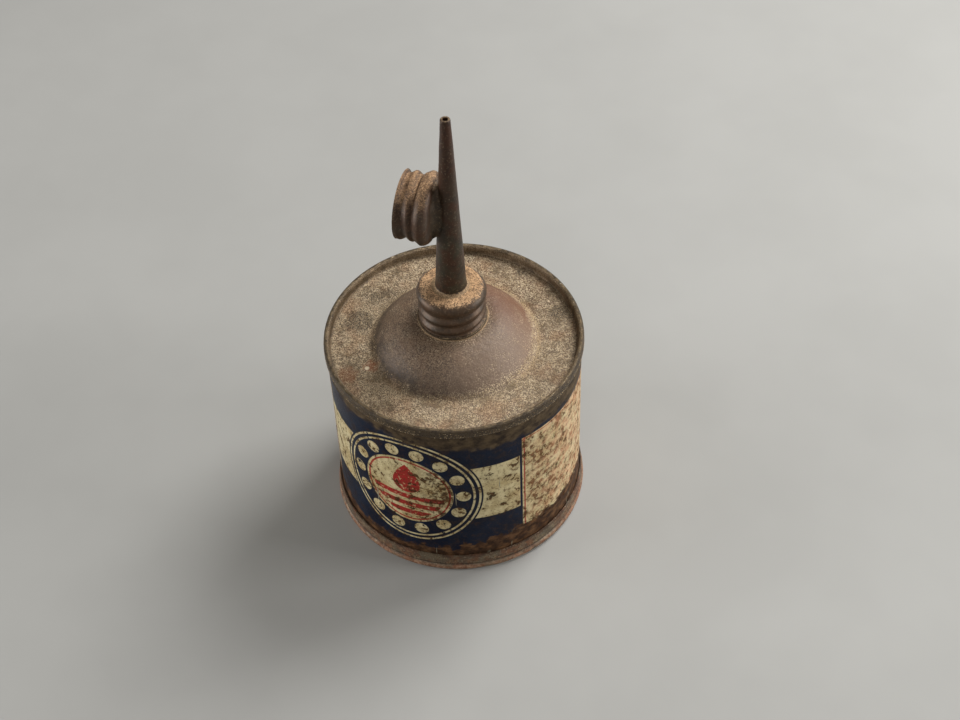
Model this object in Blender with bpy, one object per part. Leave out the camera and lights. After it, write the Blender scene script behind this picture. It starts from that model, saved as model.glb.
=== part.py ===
"""Hand oiler: a seamed tinplate can with a pressed dome, a screw-on spout and a thumb-sprung bottom.

Metres, +Z up. The origin is on the can's axis, on the plane that the bottom seam stands on.
The storage cap points along -X and the can's side seam runs down the back, at +Y.
"""

import math

import bmesh
import bpy
from mathutils import Vector

MM = 0.001
FULL_TURN = 2.0 * math.pi

# Clearances
FIT = 0.25 * MM                   # between pieces that are pressed, seamed or soldered together
THREAD_CLEARANCE = 0.30 * MM      # between the cap's rolled thread and the neck's
BOTTOM_CLEARANCE = 0.30 * MM      # around the bottom disc

# Can body and its two ends
BODY_RADIUS = 37.4 * MM           # outside of the body wall
BODY_SHEET = 0.35 * MM
END_SHEET = 0.40 * MM
CAN_HEIGHT = 64.3 * MM            # standing plane to the top of the rim
TOP_SEAM_DEPTH = 2.9 * MM         # height of the top seam's outer wall
PANEL_RECESS = 2.9 * MM           # from the rim down to the flat panel
BOTTOM_BAND_TOP = 6.4 * MM        # top edge of the bottom seam's outer band
BOTTOM_BEAD_RADIUS = 1.3 * MM     # bead that the can stands on
BOTTOM_BEAD_REACH = 0.65 * MM     # how far the bead stands out beyond the seam's band
BOTTOM_CHAMFER = 0.35 * MM        # inner edge of the standing ring
BOTTOM_RECESS = 3.4 * MM          # from the standing plane up to the bottom lip
BOTTOM_LIP = 2.6 * MM             # width of the fixed lip around the bottom disc
CORNER_RADIUS = 0.7 * MM          # pressed corners in the end sheets
SEALANT_HEIGHT = 0.5 * MM         # sealing compound in the crown of each seam
SIDE_SEAM_WIDTH = 3.6 * MM
SEAM_SOLDER = 0.25 * MM           # thickness of the solder on a lapped seam

# Dome
DOME_RADIUS = 24.2 * MM
DOME_HEIGHT = 10.15 * MM          # flat panel to the dome's flat top
DOME_CROWN = 2.0                  # power of the dome's curve, 2 is a parabola
DOME_LAND = 0.4 * MM              # flat left outside the solder around the neck

# Bottom disc
DISC_BULGE = 1.5 * MM             # how far its centre stands below its edge
DISC_RIB_INSET = 6.0 * MM         # disc's edge to the middle of its rib
DISC_RIB_WIDTH = 5.0 * MM
DISC_RIB_HEIGHT = 0.8 * MM

# Neck and screw caps
NECK_SHEET = 0.40 * MM
NECK_ROOT_RADIUS = 8.2 * MM       # bottom of the neck's thread, outside
NECK_LIP = 1.0 * MM               # width of the lip that the gasket seals on
NECK_FLANGE = 1.9 * MM            # flange's reach beyond the thread's root
NECK_SOLDER_FILLET = 0.4 * MM
LIP_CHAMFER = 0.5 * MM
THREAD_DEPTH = 0.85 * MM
THREAD_PITCH = 3.6 * MM
THREAD_FADE = 0.8 * MM            # length over which a thread runs out
NECK_THREAD_FOOT = 1.1 * MM       # plain wall below the neck's thread
NECK_THREAD_STOP = 1.0 * MM       # plain wall above it
FIRST_CREST = 1.4 * MM            # above the cap's mouth, on the side given next
CREST_SIDE = math.radians(-73.0)
CAP_SHEET = 0.40 * MM
CAP_HEIGHT = 11.6 * MM            # spout cap, mouth to closed face
CAP_THREAD_TOP = 8.0 * MM         # above the mouth, where the rolled thread runs out
CAP_CORNER = 1.8 * MM
CAP_SWELL = 0.3 * MM              # how far the shoulder stands out beyond the thread's crests
GASKET_THICKNESS = 1.2 * MM

# Spout
SPOUT_SHEET = 0.35 * MM
SPOUT_FOOT_RADIUS = 4.55 * MM
SPOUT_TIP_RADIUS = 1.45 * MM
SPOUT_LENGTH = 60.7 * MM          # cap to tip
SPOUT_LEAN = math.radians(0.75)   # the spout was soldered on slightly askew
SPOUT_LEAN_SIDE = math.radians(17.0)
SPOUT_SEAM_HALF_ANGLE = math.radians(16.0)
SPOUT_SEAM_STOP = 0.8 * MM        # plain tip beyond the seam's solder
SOLDER_FILLET = 0.8 * MM

# Storage cap, soldered to the spout's side by its closed face
STORAGE_CAP_RISE = 28.0 * MM      # spout cap's top to the middle of the storage cap's face
STORAGE_CAP_HEIGHT = 9.5 * MM
STORAGE_CAP_SWELL = 0.7 * MM
STORAGE_CAP_TILT = math.radians(0.5)
STORAGE_CAP_TURN = math.radians(-139.0)  # about its own axis, which places its thread
CAP_SOLDER_LENGTH = 11.0 * MM
CAP_SOLDER_REACH = math.radians(64.0)   # how far round the spout the solder runs
CAP_SOLDER_CLEARANCE = 0.38 * MM  # solder to the tilted cap's face

# Facets
CAN_SEGMENTS = 48
CAP_SEGMENTS = 32
SPOUT_SEGMENTS = 24
THREAD_ROWS_PER_PITCH = 5
ROUND_STEPS = 4                   # along a quarter or half turn of a section's arc
CORNER_STEPS = 2                  # along a small pressed corner
DOME_STEPS = 6
RIB_STEPS = 4
DISH_STEPS = 3
SEAM_STEPS = 3                    # across a solder run
WELD = 0.001 * MM
SHARP_ANGLE = math.radians(35.0)

# Derived from the sizes above
SEAM_OUTER = BODY_RADIUS + FIT + END_SHEET
CHUCK_INNER = BODY_RADIUS - BODY_SHEET - FIT - END_SHEET
SEAM_CROWN = (SEAM_OUTER - CHUCK_INNER) / 2.0
PANEL_Z = CAN_HEIGHT - PANEL_RECESS
DOME_TOP_Z = PANEL_Z + DOME_HEIGHT
FLANGE_TOP_Z = DOME_TOP_Z + FIT + NECK_SHEET
CAP_MOUTH_Z = FLANGE_TOP_Z + THREAD_CLEARANCE
FLANGE_RADIUS = NECK_ROOT_RADIUS + NECK_FLANGE
DOME_SHOULDER = FLANGE_RADIUS + FIT + NECK_SOLDER_FILLET + DOME_LAND
CREST_RADIUS = NECK_ROOT_RADIUS + THREAD_DEPTH
CAP_INNER = CREST_RADIUS + THREAD_CLEARANCE
CAP_OUTER = CAP_INNER + CAP_SHEET
SPOUT_HOLE = SPOUT_FOOT_RADIUS + FIT
LIP_EDGE = CHUCK_INNER - BOTTOM_LIP
DISC_RADIUS = LIP_EDGE - BOTTOM_CLEARANCE
DISC_RIB_RADIUS = DISC_RADIUS - DISC_RIB_INSET
GASKET_RADIUS = CAP_OUTER - CAP_CORNER
GASKET_LOW = CAP_HEIGHT - CAP_SHEET - FIT - GASKET_THICKNESS
NECK_LIP_Z = CAP_MOUTH_Z + GASKET_LOW - FIT
ROW_STEP = THREAD_PITCH / THREAD_ROWS_PER_PITCH


def clear_scene():
    for thing in list(bpy.data.objects):
        bpy.data.objects.remove(thing, do_unlink=True)


def finish(name, colour, roughness, metallic):
    """A Principled material with a linear RGB colour."""
    material = bpy.data.materials.new(name)
    material.use_nodes = True
    shader = material.node_tree.nodes["Principled BSDF"]
    shader.inputs["Base Color"].default_value = (*colour, 1.0)
    shader.inputs["Roughness"].default_value = roughness
    shader.inputs["Metallic"].default_value = metallic
    return material


def arc(centre, radius, start_deg, end_deg, steps):
    """Points along an arc in the (radius, height) plane, both ends included."""
    points = []
    for step in range(steps + 1):
        angle = math.radians(start_deg + (end_deg - start_deg) * step / steps)
        points.append((centre[0] + radius * math.cos(angle), centre[1] + radius * math.sin(angle)))
    return points


def rows(radius, low, high):
    """Points up a wall, close enough together to carry a rolled thread."""
    count = max(1, math.ceil((high - low) / ROW_STEP))
    return [(radius, low + (high - low) * row / count) for row in range(count + 1)]


def sheet(path, thickness):
    """The closed outline of a sheet that lies on the left of an open path, with mitred corners."""
    points = [Vector(point) for point in path]
    runs = [(after - before).normalized() for before, after in zip(points, points[1:])]
    sides = [Vector((-run.y, run.x)) for run in runs]
    inner = []
    for point, before, after in zip(points, sides[:1] + sides, sides + sides[-1:]):
        corner = point + (before + after) * (thickness / (1.0 + before.dot(after)))
        if point.x < WELD:
            corner.x = 0.0
        inner.append(corner)
    return [tuple(point) for point in points + inner[::-1]]


def block(inner_radius, outer_radius, low, high):
    """The outline of a plain ring."""
    return [(inner_radius, low), (outer_radius, low), (outer_radius, high), (inner_radius, high)]


def fillet(radius, base, size):
    """The outline of a solder fillet in the corner of an upright wall and a flat face."""
    corner = (radius + size, base + size)
    return [(radius, base)] + arc(corner, size, 270.0, 180.0, ROUND_STEPS)


def spun(section, segments):
    """Spin an outline of (radius, height) points about Z into one closed solid."""
    shape = bmesh.new()
    verts = [shape.verts.new((radius, 0.0, height)) for radius, height in section]
    edges = []
    for first, second in zip(verts, verts[1:] + verts[:1]):
        if max(first.co.x, second.co.x) > WELD:
            edges.append(shape.edges.new((first, second)))
    bmesh.ops.spin(shape, geom=verts + edges, axis=(0.0, 0.0, 1.0), cent=(0.0, 0.0, 0.0),
                   angle=FULL_TURN, steps=segments, use_merge=True)
    bmesh.ops.remove_doubles(shape, verts=shape.verts, dist=WELD)
    bmesh.ops.recalc_face_normals(shape, faces=shape.faces)
    return shape


def lofted(loops):
    """Join outlines of equal length into one closed solid."""
    shape = bmesh.new()
    rings = [[shape.verts.new(point) for point in loop] for loop in loops]
    for low, high in zip(rings, rings[1:]):
        for index in range(len(low)):
            after = (index + 1) % len(low)
            shape.faces.new((low[index], low[after], high[after], high[index]))
    shape.faces.new(rings[0][::-1])
    shape.faces.new(rings[-1])
    bmesh.ops.recalc_face_normals(shape, faces=shape.faces)
    return shape


def placed(name, shape, material, parent=None):
    """Turn a shape into a named object, shaded smooth up to its pressed edges."""
    mesh = bpy.data.meshes.new(name)
    shape.to_mesh(mesh)
    shape.free()
    mesh.materials.append(material)
    mesh.shade_smooth()
    mesh.set_sharp_from_angle(angle=SHARP_ANGLE)
    piece = bpy.data.objects.new(name, mesh)
    bpy.context.scene.collection.objects.link(piece)
    piece.parent = parent
    return piece


def joint_axis(name, height, parent=None):
    """An empty on the can's axis, which the pieces of one moving body hang from."""
    empty = bpy.data.objects.new(name, None)
    empty.location = (0.0, 0.0, height)
    empty.parent = parent
    bpy.context.scene.collection.objects.link(empty)
    return empty


def lean_axis(parent):
    """An empty at the spout's foot, turned by the spout's lean."""
    empty = joint_axis("spout_lean_axis", CAP_HEIGHT, parent)
    empty.rotation_mode = "AXIS_ANGLE"
    empty.rotation_axis_angle = (SPOUT_LEAN, -math.sin(SPOUT_LEAN_SIDE), math.cos(SPOUT_LEAN_SIDE), 0.0)
    return empty


def thread_height(height, angle):
    """1 on a crest and 0 in a groove of the right-hand thread, height counted from the cap's mouth."""
    turns = (height - FIRST_CREST) / THREAD_PITCH - (angle - CREST_SIDE) / FULL_TURN
    return 0.5 + 0.5 * math.cos(FULL_TURN * turns)


def fade(height, low, high):
    """1 between two heights, running out to 0 at each."""
    inside = min(height - low, high - height) / THREAD_FADE
    return min(1.0, max(0.0, inside))


def roll(shape, shift):
    """Move every vertex along its radius by shift(height, angle)."""
    for vert in shape.verts:
        radius = math.hypot(vert.co.x, vert.co.y)
        change = shift(vert.co.z, math.atan2(vert.co.y, vert.co.x))
        if radius > WELD and change:
            vert.co.x *= (radius + change) / radius
            vert.co.y *= (radius + change) / radius


def wedge(inner_radius, outer_radius, middle, half_angle, height):
    """The outline, at one height, of a strip that follows a round wall."""
    spread = [2.0 * step / SEAM_STEPS - 1.0 for step in range(SEAM_STEPS + 1)]
    angles = [middle + half_angle * share for share in spread]
    inner = [(inner_radius * math.cos(a), inner_radius * math.sin(a), height) for a in angles]
    outer = [(outer_radius * math.cos(a), outer_radius * math.sin(a), height) for a in angles]
    return inner + outer[::-1]


def spout_radius(height):
    """Outside of the spout, height counted from the spout cap's top."""
    return SPOUT_FOOT_RADIUS + (SPOUT_TIP_RADIUS - SPOUT_FOOT_RADIUS) * height / SPOUT_LENGTH


def make_top_end(tinplate):
    """Seam wall, rounded rim, recessed panel and dome, pressed from one sheet."""
    crown = (SEAM_OUTER - SEAM_CROWN, CAN_HEIGHT - SEAM_CROWN)
    path = [(SEAM_OUTER, CAN_HEIGHT - TOP_SEAM_DEPTH)]
    path += arc(crown, SEAM_CROWN, 0.0, 180.0, ROUND_STEPS)
    heel = (CHUCK_INNER - CORNER_RADIUS, PANEL_Z + CORNER_RADIUS)
    path += arc(heel, CORNER_RADIUS, 0.0, -90.0, CORNER_STEPS)
    for step in range(DOME_STEPS + 1):
        out = 1.0 - step / DOME_STEPS
        radius = DOME_SHOULDER + (DOME_RADIUS - DOME_SHOULDER) * out
        path.append((radius, PANEL_Z + DOME_HEIGHT * (1.0 - out ** DOME_CROWN)))
    path.append((NECK_ROOT_RADIUS - NECK_SHEET, DOME_TOP_Z))
    placed("top_end", spun(sheet(path, END_SHEET), CAN_SEGMENTS), tinplate)


def make_bottom_end(tinplate):
    """Lip, inner wall, standing bead and outer band, pressed from one sheet."""
    heel = (CHUCK_INNER - CORNER_RADIUS, BOTTOM_RECESS - CORNER_RADIUS)
    bead = (SEAM_OUTER + BOTTOM_BEAD_REACH - BOTTOM_BEAD_RADIUS, BOTTOM_BEAD_RADIUS)
    waist = math.degrees(math.acos((SEAM_OUTER - bead[0]) / BOTTOM_BEAD_RADIUS))
    path = [(LIP_EDGE, BOTTOM_RECESS)]
    path += arc(heel, CORNER_RADIUS, 90.0, 0.0, CORNER_STEPS)
    path += [(CHUCK_INNER, BOTTOM_CHAMFER), (CHUCK_INNER + BOTTOM_CHAMFER, 0.0)]
    path += arc(bead, BOTTOM_BEAD_RADIUS, -90.0, waist, ROUND_STEPS)
    path.append((SEAM_OUTER, BOTTOM_BAND_TOP))
    placed("bottom_end", spun(sheet(path, END_SHEET), CAN_SEGMENTS), tinplate)


def make_body(litho, solder, sealant):
    """The body wall between the two seams, its side seam and the compound in the seams' crowns."""
    low_crown = END_SHEET + FIT
    high_crown = CAN_HEIGHT - END_SHEET - FIT
    wall_low = low_crown + SEALANT_HEIGHT + FIT
    wall_high = high_crown - SEALANT_HEIGHT - FIT
    wall_inner = BODY_RADIUS - BODY_SHEET
    placed("body_shell", spun(block(wall_inner, BODY_RADIUS, wall_low, wall_high), CAN_SEGMENTS), litho)

    upper = block(wall_inner, BODY_RADIUS, high_crown - SEALANT_HEIGHT, high_crown)
    placed("top_seam_sealant", spun(upper, CAN_SEGMENTS), sealant)
    lower = block(wall_inner, BODY_RADIUS, low_crown, low_crown + SEALANT_HEIGHT)
    placed("bottom_seam_sealant", spun(lower, CAN_SEGMENTS), sealant)

    inner = BODY_RADIUS + FIT
    half_angle = SIDE_SEAM_WIDTH / 2.0 / BODY_RADIUS
    heights = (BOTTOM_BAND_TOP + FIT, CAN_HEIGHT - TOP_SEAM_DEPTH - FIT)
    loops = [wedge(inner, inner + SEAM_SOLDER, math.pi / 2.0, half_angle, height) for height in heights]
    placed("side_seam_solder", lofted(loops), solder)


def make_bottom_disc(tinplate):
    """The dished disc that the thumb presses, with a rib rolled near its edge."""
    rib_inner = DISC_RIB_RADIUS - DISC_RIB_WIDTH / 2.0

    def height_at(radius):
        dish = DISC_BULGE * (1.0 - (radius / DISC_RADIUS) ** 2)
        across = min(1.0, max(0.0, (radius - rib_inner) / DISC_RIB_WIDTH))
        rib = DISC_RIB_HEIGHT * 0.5 * (1.0 - math.cos(FULL_TURN * across))
        return rib - dish

    dish_radii = [rib_inner * step / DISH_STEPS for step in range(DISH_STEPS)]
    rib_radii = [rib_inner + DISC_RIB_WIDTH * step / RIB_STEPS for step in range(RIB_STEPS + 1)]
    path = [(radius, height_at(radius)) for radius in dish_radii + rib_radii + [DISC_RADIUS]]
    press_axis = joint_axis("bottom_press_axis", BOTTOM_RECESS)
    placed("bottom_disc", spun(sheet(path, END_SHEET), CAN_SEGMENTS), tinplate, press_axis)


def make_neck(tinplate, solder):
    """The threaded neck, standing by its flange on the dome, and the solder around the flange."""
    path = [(FLANGE_RADIUS, FLANGE_TOP_Z)]
    path += rows(NECK_ROOT_RADIUS, FLANGE_TOP_Z, NECK_LIP_Z - LIP_CHAMFER)
    path.append((NECK_ROOT_RADIUS - LIP_CHAMFER, NECK_LIP_Z))
    path.append((NECK_ROOT_RADIUS - NECK_SHEET - NECK_LIP, NECK_LIP_Z))

    def shift(height, angle):
        strength = fade(height, FLANGE_TOP_Z + NECK_THREAD_FOOT, NECK_LIP_Z - NECK_THREAD_STOP)
        return THREAD_DEPTH * strength * thread_height(height - CAP_MOUTH_Z, angle)

    shape = spun(sheet(path, NECK_SHEET), CAP_SEGMENTS)
    roll(shape, shift)
    placed("neck", shape, tinplate)
    ring = fillet(FLANGE_RADIUS + FIT, DOME_TOP_Z + FIT, NECK_SOLDER_FILLET)
    placed("neck_solder", spun(ring, CAP_SEGMENTS), solder)


def screw_cap(name, height, swell, hole, tinplate, parent):
    """A cap with a rolled thread, mouth down at 0, its closed face pierced if hole isn't 0."""
    trim = CAP_HEIGHT - height
    path = rows(CAP_OUTER, 0.0, CAP_THREAD_TOP - trim)
    path += arc((CAP_OUTER + swell - CAP_CORNER, height - CAP_CORNER), CAP_CORNER, 0.0, 90.0,
                ROUND_STEPS)
    path.append((hole, height))

    def shift(level, angle):
        strength = fade(level, 0.0, CAP_THREAD_TOP - trim)
        return -THREAD_DEPTH * strength * (1.0 - thread_height(level + trim, angle))

    shape = spun(sheet(path, CAP_SHEET), CAP_SEGMENTS)
    roll(shape, shift)
    return placed(name, shape, tinplate, parent)


def make_spout(tinplate, solder, cork, axis, lean):
    """Spout cap, gasket, tapered spout, and the solder at the spout's foot and down its seam."""
    screw_cap("spout_cap", CAP_HEIGHT, CAP_SWELL, SPOUT_HOLE, tinplate, axis)
    gasket = block(SPOUT_HOLE + FIT, GASKET_RADIUS, GASKET_LOW, GASKET_LOW + GASKET_THICKNESS)
    placed("spout_gasket", spun(gasket, CAP_SEGMENTS), cork, axis)
    ring = fillet(SPOUT_HOLE, CAP_HEIGHT + FIT, SOLDER_FILLET)
    placed("spout_foot_solder", spun(ring, SPOUT_SEGMENTS), solder, axis)

    path = [(SPOUT_FOOT_RADIUS, -CAP_SHEET), (SPOUT_FOOT_RADIUS, 0.0)]
    path += [(spout_radius(height), height) for height in (SPOUT_LENGTH / 2.0, SPOUT_LENGTH)]
    placed("spout_tube", spun(sheet(path, SPOUT_SHEET), SPOUT_SEGMENTS), tinplate, lean)

    loops = []
    for height in (FIT + SOLDER_FILLET + FIT, SPOUT_LENGTH - SPOUT_SEAM_STOP):
        inner = spout_radius(height) + FIT
        loops.append(wedge(inner, inner + SEAM_SOLDER, math.pi / 2.0, SPOUT_SEAM_HALF_ANGLE, height))
    placed("spout_seam_solder", lofted(loops), solder, lean)


def make_storage_cap(tinplate, solder, cork, lean):
    """The closing cap carried on the spout's side, with its liner and a solder run on each side."""
    cap = screw_cap("storage_cap", STORAGE_CAP_HEIGHT, STORAGE_CAP_SWELL, 0.0, tinplate, lean)
    seat = STORAGE_CAP_HEIGHT - CAP_SHEET - FIT
    disc = [(0.0, seat - GASKET_THICKNESS), (GASKET_RADIUS, seat - GASKET_THICKNESS),
            (GASKET_RADIUS, seat), (0.0, seat)]
    liner = placed("storage_cap_liner", spun(disc, CAP_SEGMENTS), cork, lean)
    low, high = (STORAGE_CAP_RISE + side * CAP_SOLDER_LENGTH / 2.0 for side in (-1.0, 1.0))
    out = Vector((-math.cos(STORAGE_CAP_TILT), 0.0, math.sin(STORAGE_CAP_TILT)))
    reach = spout_radius(low) + FIT + STORAGE_CAP_HEIGHT
    for piece in (cap, liner):
        piece.rotation_mode = "ZYX"
        piece.rotation_euler = (0.0, math.pi / 2.0 + STORAGE_CAP_TILT, STORAGE_CAP_TURN)
        piece.location = Vector((0.0, 0.0, STORAGE_CAP_RISE)) + out * reach

    for name, side in (("storage_cap_solder_front", 1.0), ("storage_cap_solder_back", -1.0)):
        loops = []
        for height in (low, high):
            radius = spout_radius(height) + FIT
            face = spout_radius(low) + FIT - CAP_SOLDER_CLEARANCE
            start = max(math.acos(min(1.0, face / radius)), FIT / radius)
            sweep = (CAP_SOLDER_REACH - start) / ROUND_STEPS
            angles = [start + sweep * step for step in range(ROUND_STEPS + 1)]
            loop = [(-radius * math.cos(a), -side * radius * math.sin(a), height) for a in angles]
            loop.append((-face, -side * radius * math.sin(CAP_SOLDER_REACH), height))
            loops.append(loop)
        placed(name, lofted(loops), solder, lean)


def main():
    clear_scene()
    litho = finish("litho_tinplate", (0.03, 0.04, 0.11), 0.45, 0.0)
    tinplate = finish("bare_tinplate", (0.22, 0.17, 0.12), 0.55, 0.8)
    dark_tinplate = finish("dark_tinplate", (0.12, 0.10, 0.08), 0.50, 0.8)
    solder = finish("soft_solder", (0.25, 0.24, 0.22), 0.45, 0.9)
    sealant = finish("seam_compound", (0.10, 0.08, 0.05), 0.80, 0.0)
    cork = finish("cork", (0.35, 0.20, 0.10), 0.90, 0.0)

    make_body(litho, solder, sealant)
    make_top_end(tinplate)
    make_bottom_end(tinplate)
    make_bottom_disc(tinplate)
    make_neck(dark_tinplate, solder)
    spout_axis = joint_axis("spout_axis", CAP_MOUTH_Z)
    spout_lean = lean_axis(spout_axis)
    make_spout(dark_tinplate, solder, cork, spout_axis, spout_lean)
    make_storage_cap(dark_tinplate, solder, cork, spout_lean)


main()
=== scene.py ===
"""Looks of the hand oiler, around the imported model: pressed tinplate, printed label, solder, rust, dust."""

import math

import bmesh
import bpy
from bpy.props import FloatProperty, FloatVectorProperty, IntProperty, PointerProperty
from mathutils import Matrix, Vector, noise


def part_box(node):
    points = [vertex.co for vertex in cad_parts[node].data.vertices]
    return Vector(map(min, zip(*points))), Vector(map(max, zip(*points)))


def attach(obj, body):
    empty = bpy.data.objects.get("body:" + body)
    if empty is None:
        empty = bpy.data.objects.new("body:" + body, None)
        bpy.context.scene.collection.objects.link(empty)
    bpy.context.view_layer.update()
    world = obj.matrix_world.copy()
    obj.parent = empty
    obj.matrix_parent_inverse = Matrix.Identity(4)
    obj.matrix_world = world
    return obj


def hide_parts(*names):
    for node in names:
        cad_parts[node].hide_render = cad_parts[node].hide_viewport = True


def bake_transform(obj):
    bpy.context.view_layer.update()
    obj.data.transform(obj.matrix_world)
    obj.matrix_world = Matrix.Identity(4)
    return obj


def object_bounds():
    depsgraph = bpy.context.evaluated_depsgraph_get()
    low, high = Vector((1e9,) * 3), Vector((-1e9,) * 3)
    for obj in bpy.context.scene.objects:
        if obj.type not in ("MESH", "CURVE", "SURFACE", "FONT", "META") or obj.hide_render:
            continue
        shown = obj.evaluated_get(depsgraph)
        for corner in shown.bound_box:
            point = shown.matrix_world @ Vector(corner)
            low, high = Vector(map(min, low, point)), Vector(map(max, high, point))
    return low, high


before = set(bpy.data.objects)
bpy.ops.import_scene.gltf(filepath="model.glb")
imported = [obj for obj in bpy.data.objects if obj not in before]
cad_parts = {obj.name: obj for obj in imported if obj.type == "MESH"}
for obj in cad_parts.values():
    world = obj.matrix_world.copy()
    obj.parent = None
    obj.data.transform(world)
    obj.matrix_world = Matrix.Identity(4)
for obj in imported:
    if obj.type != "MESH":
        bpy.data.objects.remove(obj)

bl_info = {
    "name": "Hand oiler",
    "version": (1, 0, 0),
    "blender": (4, 5, 0),
    "location": "View3D > Sidebar > Oiler",
    "description": "Builds the visible pieces of a small tinplate oil can and its stage",
    "category": "Object",
}

MM = 0.001
FULL_TURN = 2.0 * math.pi
WELD = 0.001 * MM
SHARP_ANGLE = math.radians(40.0)
CAP_FACETS, FILLET_FACETS, SPOUT_FACETS = 160, 96, 80
DOME_STEPS, FILLET_STEPS, FILLET_LUMP = 44, 8, 0.45

BOX = {node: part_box(node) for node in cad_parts}
BODY_LOW, BODY_HIGH = BOX["body_shell"]
TOP_HIGH = BOX["top_end"][1]
CAP_LOW, CAP_HIGH = BOX["spout_cap"]
NECK_LOW, NECK_HIGH = BOX["neck"]
CAD_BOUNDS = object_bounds()

# Pressed ends: rounding inside their folds, and the rib round the springing disc
FOLD_CORNER = 0.7 * MM
RIB_WIDTH, RIB_HEIGHT, RIB_INSET = 5.0 * MM, 0.8 * MM, 6.0 * MM

# Strip over the body's side seam
SEAM_STEPS, SEAM_EDGE, SEAM_SWELL, SEAM_SUNK = 10, 0.05 * MM, 0.42 * MM, 0.10 * MM

# Rolled thread: spacing of the wall's points, first crest above the cap's mouth, and run-out
THREAD_ROWS, THREAD_FADE = 0.16 * MM, 0.8 * MM
CREST_RISE, CREST_ANGLE = 1.4 * MM, math.radians(-73.0)
CAP_THREAD = 8.0 * MM

# Spout: how far it leans and to which side, and where and how it carries the storage cap
SPOUT_LEAN, LEAN_SIDE = math.radians(0.75), math.radians(17.0)
STORAGE_RISE, STORAGE_HOLD = 28.0 * MM, 5.5 * MM
STORAGE_TILT, STORAGE_TURN = math.radians(0.5), math.radians(-139.0)
WEB_HALF_HEIGHT, WEB_HALF_WIDTH, WEB_WRAP, WEB_STEPS = 9.2 * MM, 6.2 * MM, math.radians(78.0), 8

# Camera: it stands in front of the can, a little to the right of its frame's front, and looks down on it
VIEW_SIDE, VIEW_RISE, VIEW_ROLL = math.radians(17.0), math.radians(47.49), math.radians(-2.27)
VIEW_DISTANCE, VIEW_LENS = 0.537, 67.9
VIEW_TARGET = Vector((7.03, 2.15, 52.04)) * MM

# Stage: half of the floor's side, the air's light, and lamps by place (right, away, up), width and power
FLOOR_HALF, AIR_STRENGTH = 2.0, 0.42
LIGHTS = (("key", (0.55, 0.45, 0.75), 0.50, 11.0), ("left", (-0.80, -0.05, 0.16), 0.40, 5.0),
          ("front", (-0.05, -0.80, 0.60), 0.70, 1.2), ("right", (0.75, -0.10, 0.25), 0.30, 3.6))


# Sizes and colours that a user would change

def linear(code):
    """An sRGB hex code as linear red, green and blue."""
    channels = [int(code[index:index + 2], 16) / 255.0 for index in (1, 3, 5)]
    return tuple(c / 12.92 if c <= 0.04045 else ((c + 0.055) / 1.055) ** 2.4 for c in channels)


def length(name, description, default):
    """A size in metres."""
    return FloatProperty(name=name, description=description, default=default, unit="LENGTH", precision=5)


def colour(name, description, code):
    """A colour given as an sRGB hex code."""
    return FloatVectorProperty(name=name, description=description, default=linear(code),
                               subtype="COLOR", size=3, min=0.0, max=1.0)


class OilerSizes(bpy.types.PropertyGroup):
    """Sizes of the pressed sheet pieces, the threads and the solder."""

    body_radius: length("Body radius", "Outside of the can's wall", BODY_HIGH.x)
    body_sheet: length("Body sheet", "Thickness of the can's wall", 0.35 * MM)
    end_sheet: length("End sheet", "Thickness of the pressed ends, the neck and the caps", 0.40 * MM)
    seam_gap: length("Seam gap", "Between the body wall and the ends seamed to it", 0.25 * MM)
    can_height: length("Can height", "Standing plane to the top of the rim", 64.3 * MM)
    rim_depth: length("Rim depth", "Height of the top seam's outer wall", 2.9 * MM)
    panel_recess: length("Panel recess", "Rim to the flat panel", 2.9 * MM)
    dome_radius: length("Dome radius", "Foot of the dome", 24.2 * MM)
    dome_shoulder: length("Dome shoulder", "Where the dome turns flat around the neck", 11.15 * MM)
    band_top: length("Bottom band", "Top edge of the bottom seam's outer band", 6.4 * MM)
    bead_radius: length("Standing bead", "Bead that the can stands on", 1.3 * MM)
    lip_height: length("Bottom lip height", "Standing plane up to the bottom's lip", 3.4 * MM)
    lip_width: length("Bottom lip width", "Fixed lip around the springing disc", 2.6 * MM)
    disc_bulge: length("Disc bulge", "How far the disc's centre stands below its edge", 1.5 * MM)
    neck_root: length("Neck root", "Bottom of the neck's thread, outside", 8.2 * MM)
    thread_pitch: length("Thread pitch", "Rise of the thread in one turn", 3.6 * MM)
    thread_depth: length("Thread depth", "Root to crest", 0.85 * MM)
    cap_radius: length("Cap radius", "Crests of the caps' rolled thread, outside", 9.75 * MM)
    cap_corner: length("Cap corner", "Rounding of the caps' shoulder", 2.4 * MM)
    storage_height: length("Storage cap height", "Mouth to closed face", 9.5 * MM)
    spout_sheet: length("Spout sheet", "Thickness of the spout's wall", 0.35 * MM)
    spout_foot: length("Spout foot radius", "Outside of the spout at the cap", 4.55 * MM)
    spout_tip: length("Spout tip radius", "Outside of the spout at its tip", 1.45 * MM)
    spout_length: length("Spout length", "Spout cap to tip", 60.7 * MM)
    segments: IntProperty(name="Segments", description="Facets round the can", default=240, min=48, max=360)


class OilerColours(bpy.types.PropertyGroup):
    """Colours of the print, the metal and what has settled on it."""

    navy: colour("Navy", "Ground of the label", "#050E22")
    navy_worn: colour("Worn navy", "Where the ground has faded", "#0C1A2E")
    cream: colour("Cream", "Bands, rings and panels of the label", "#C9BB92")
    cream_aged: colour("Aged cream", "Where the cream has yellowed", "#A8905F")
    red: colour("Red", "Lines and emblem of the label", "#982824")
    rust: colour("Rust", "Old brown rust", "#412B1C")
    rust_bright: colour("Bright rust", "Rust on the beads", "#7C4E35")
    dust: colour("Dust", "Dust baked onto the top", "#9A8362")
    dust_light: colour("Light dust", "Brightest grains of the dust", "#DCC6A4")
    dome_brown: colour("Dome", "Oily brown of the dome", "#5F4838")
    floor: colour("Floor", "Plain pale floor", "#A3A29E")


# Pressed and turned shapes

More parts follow.
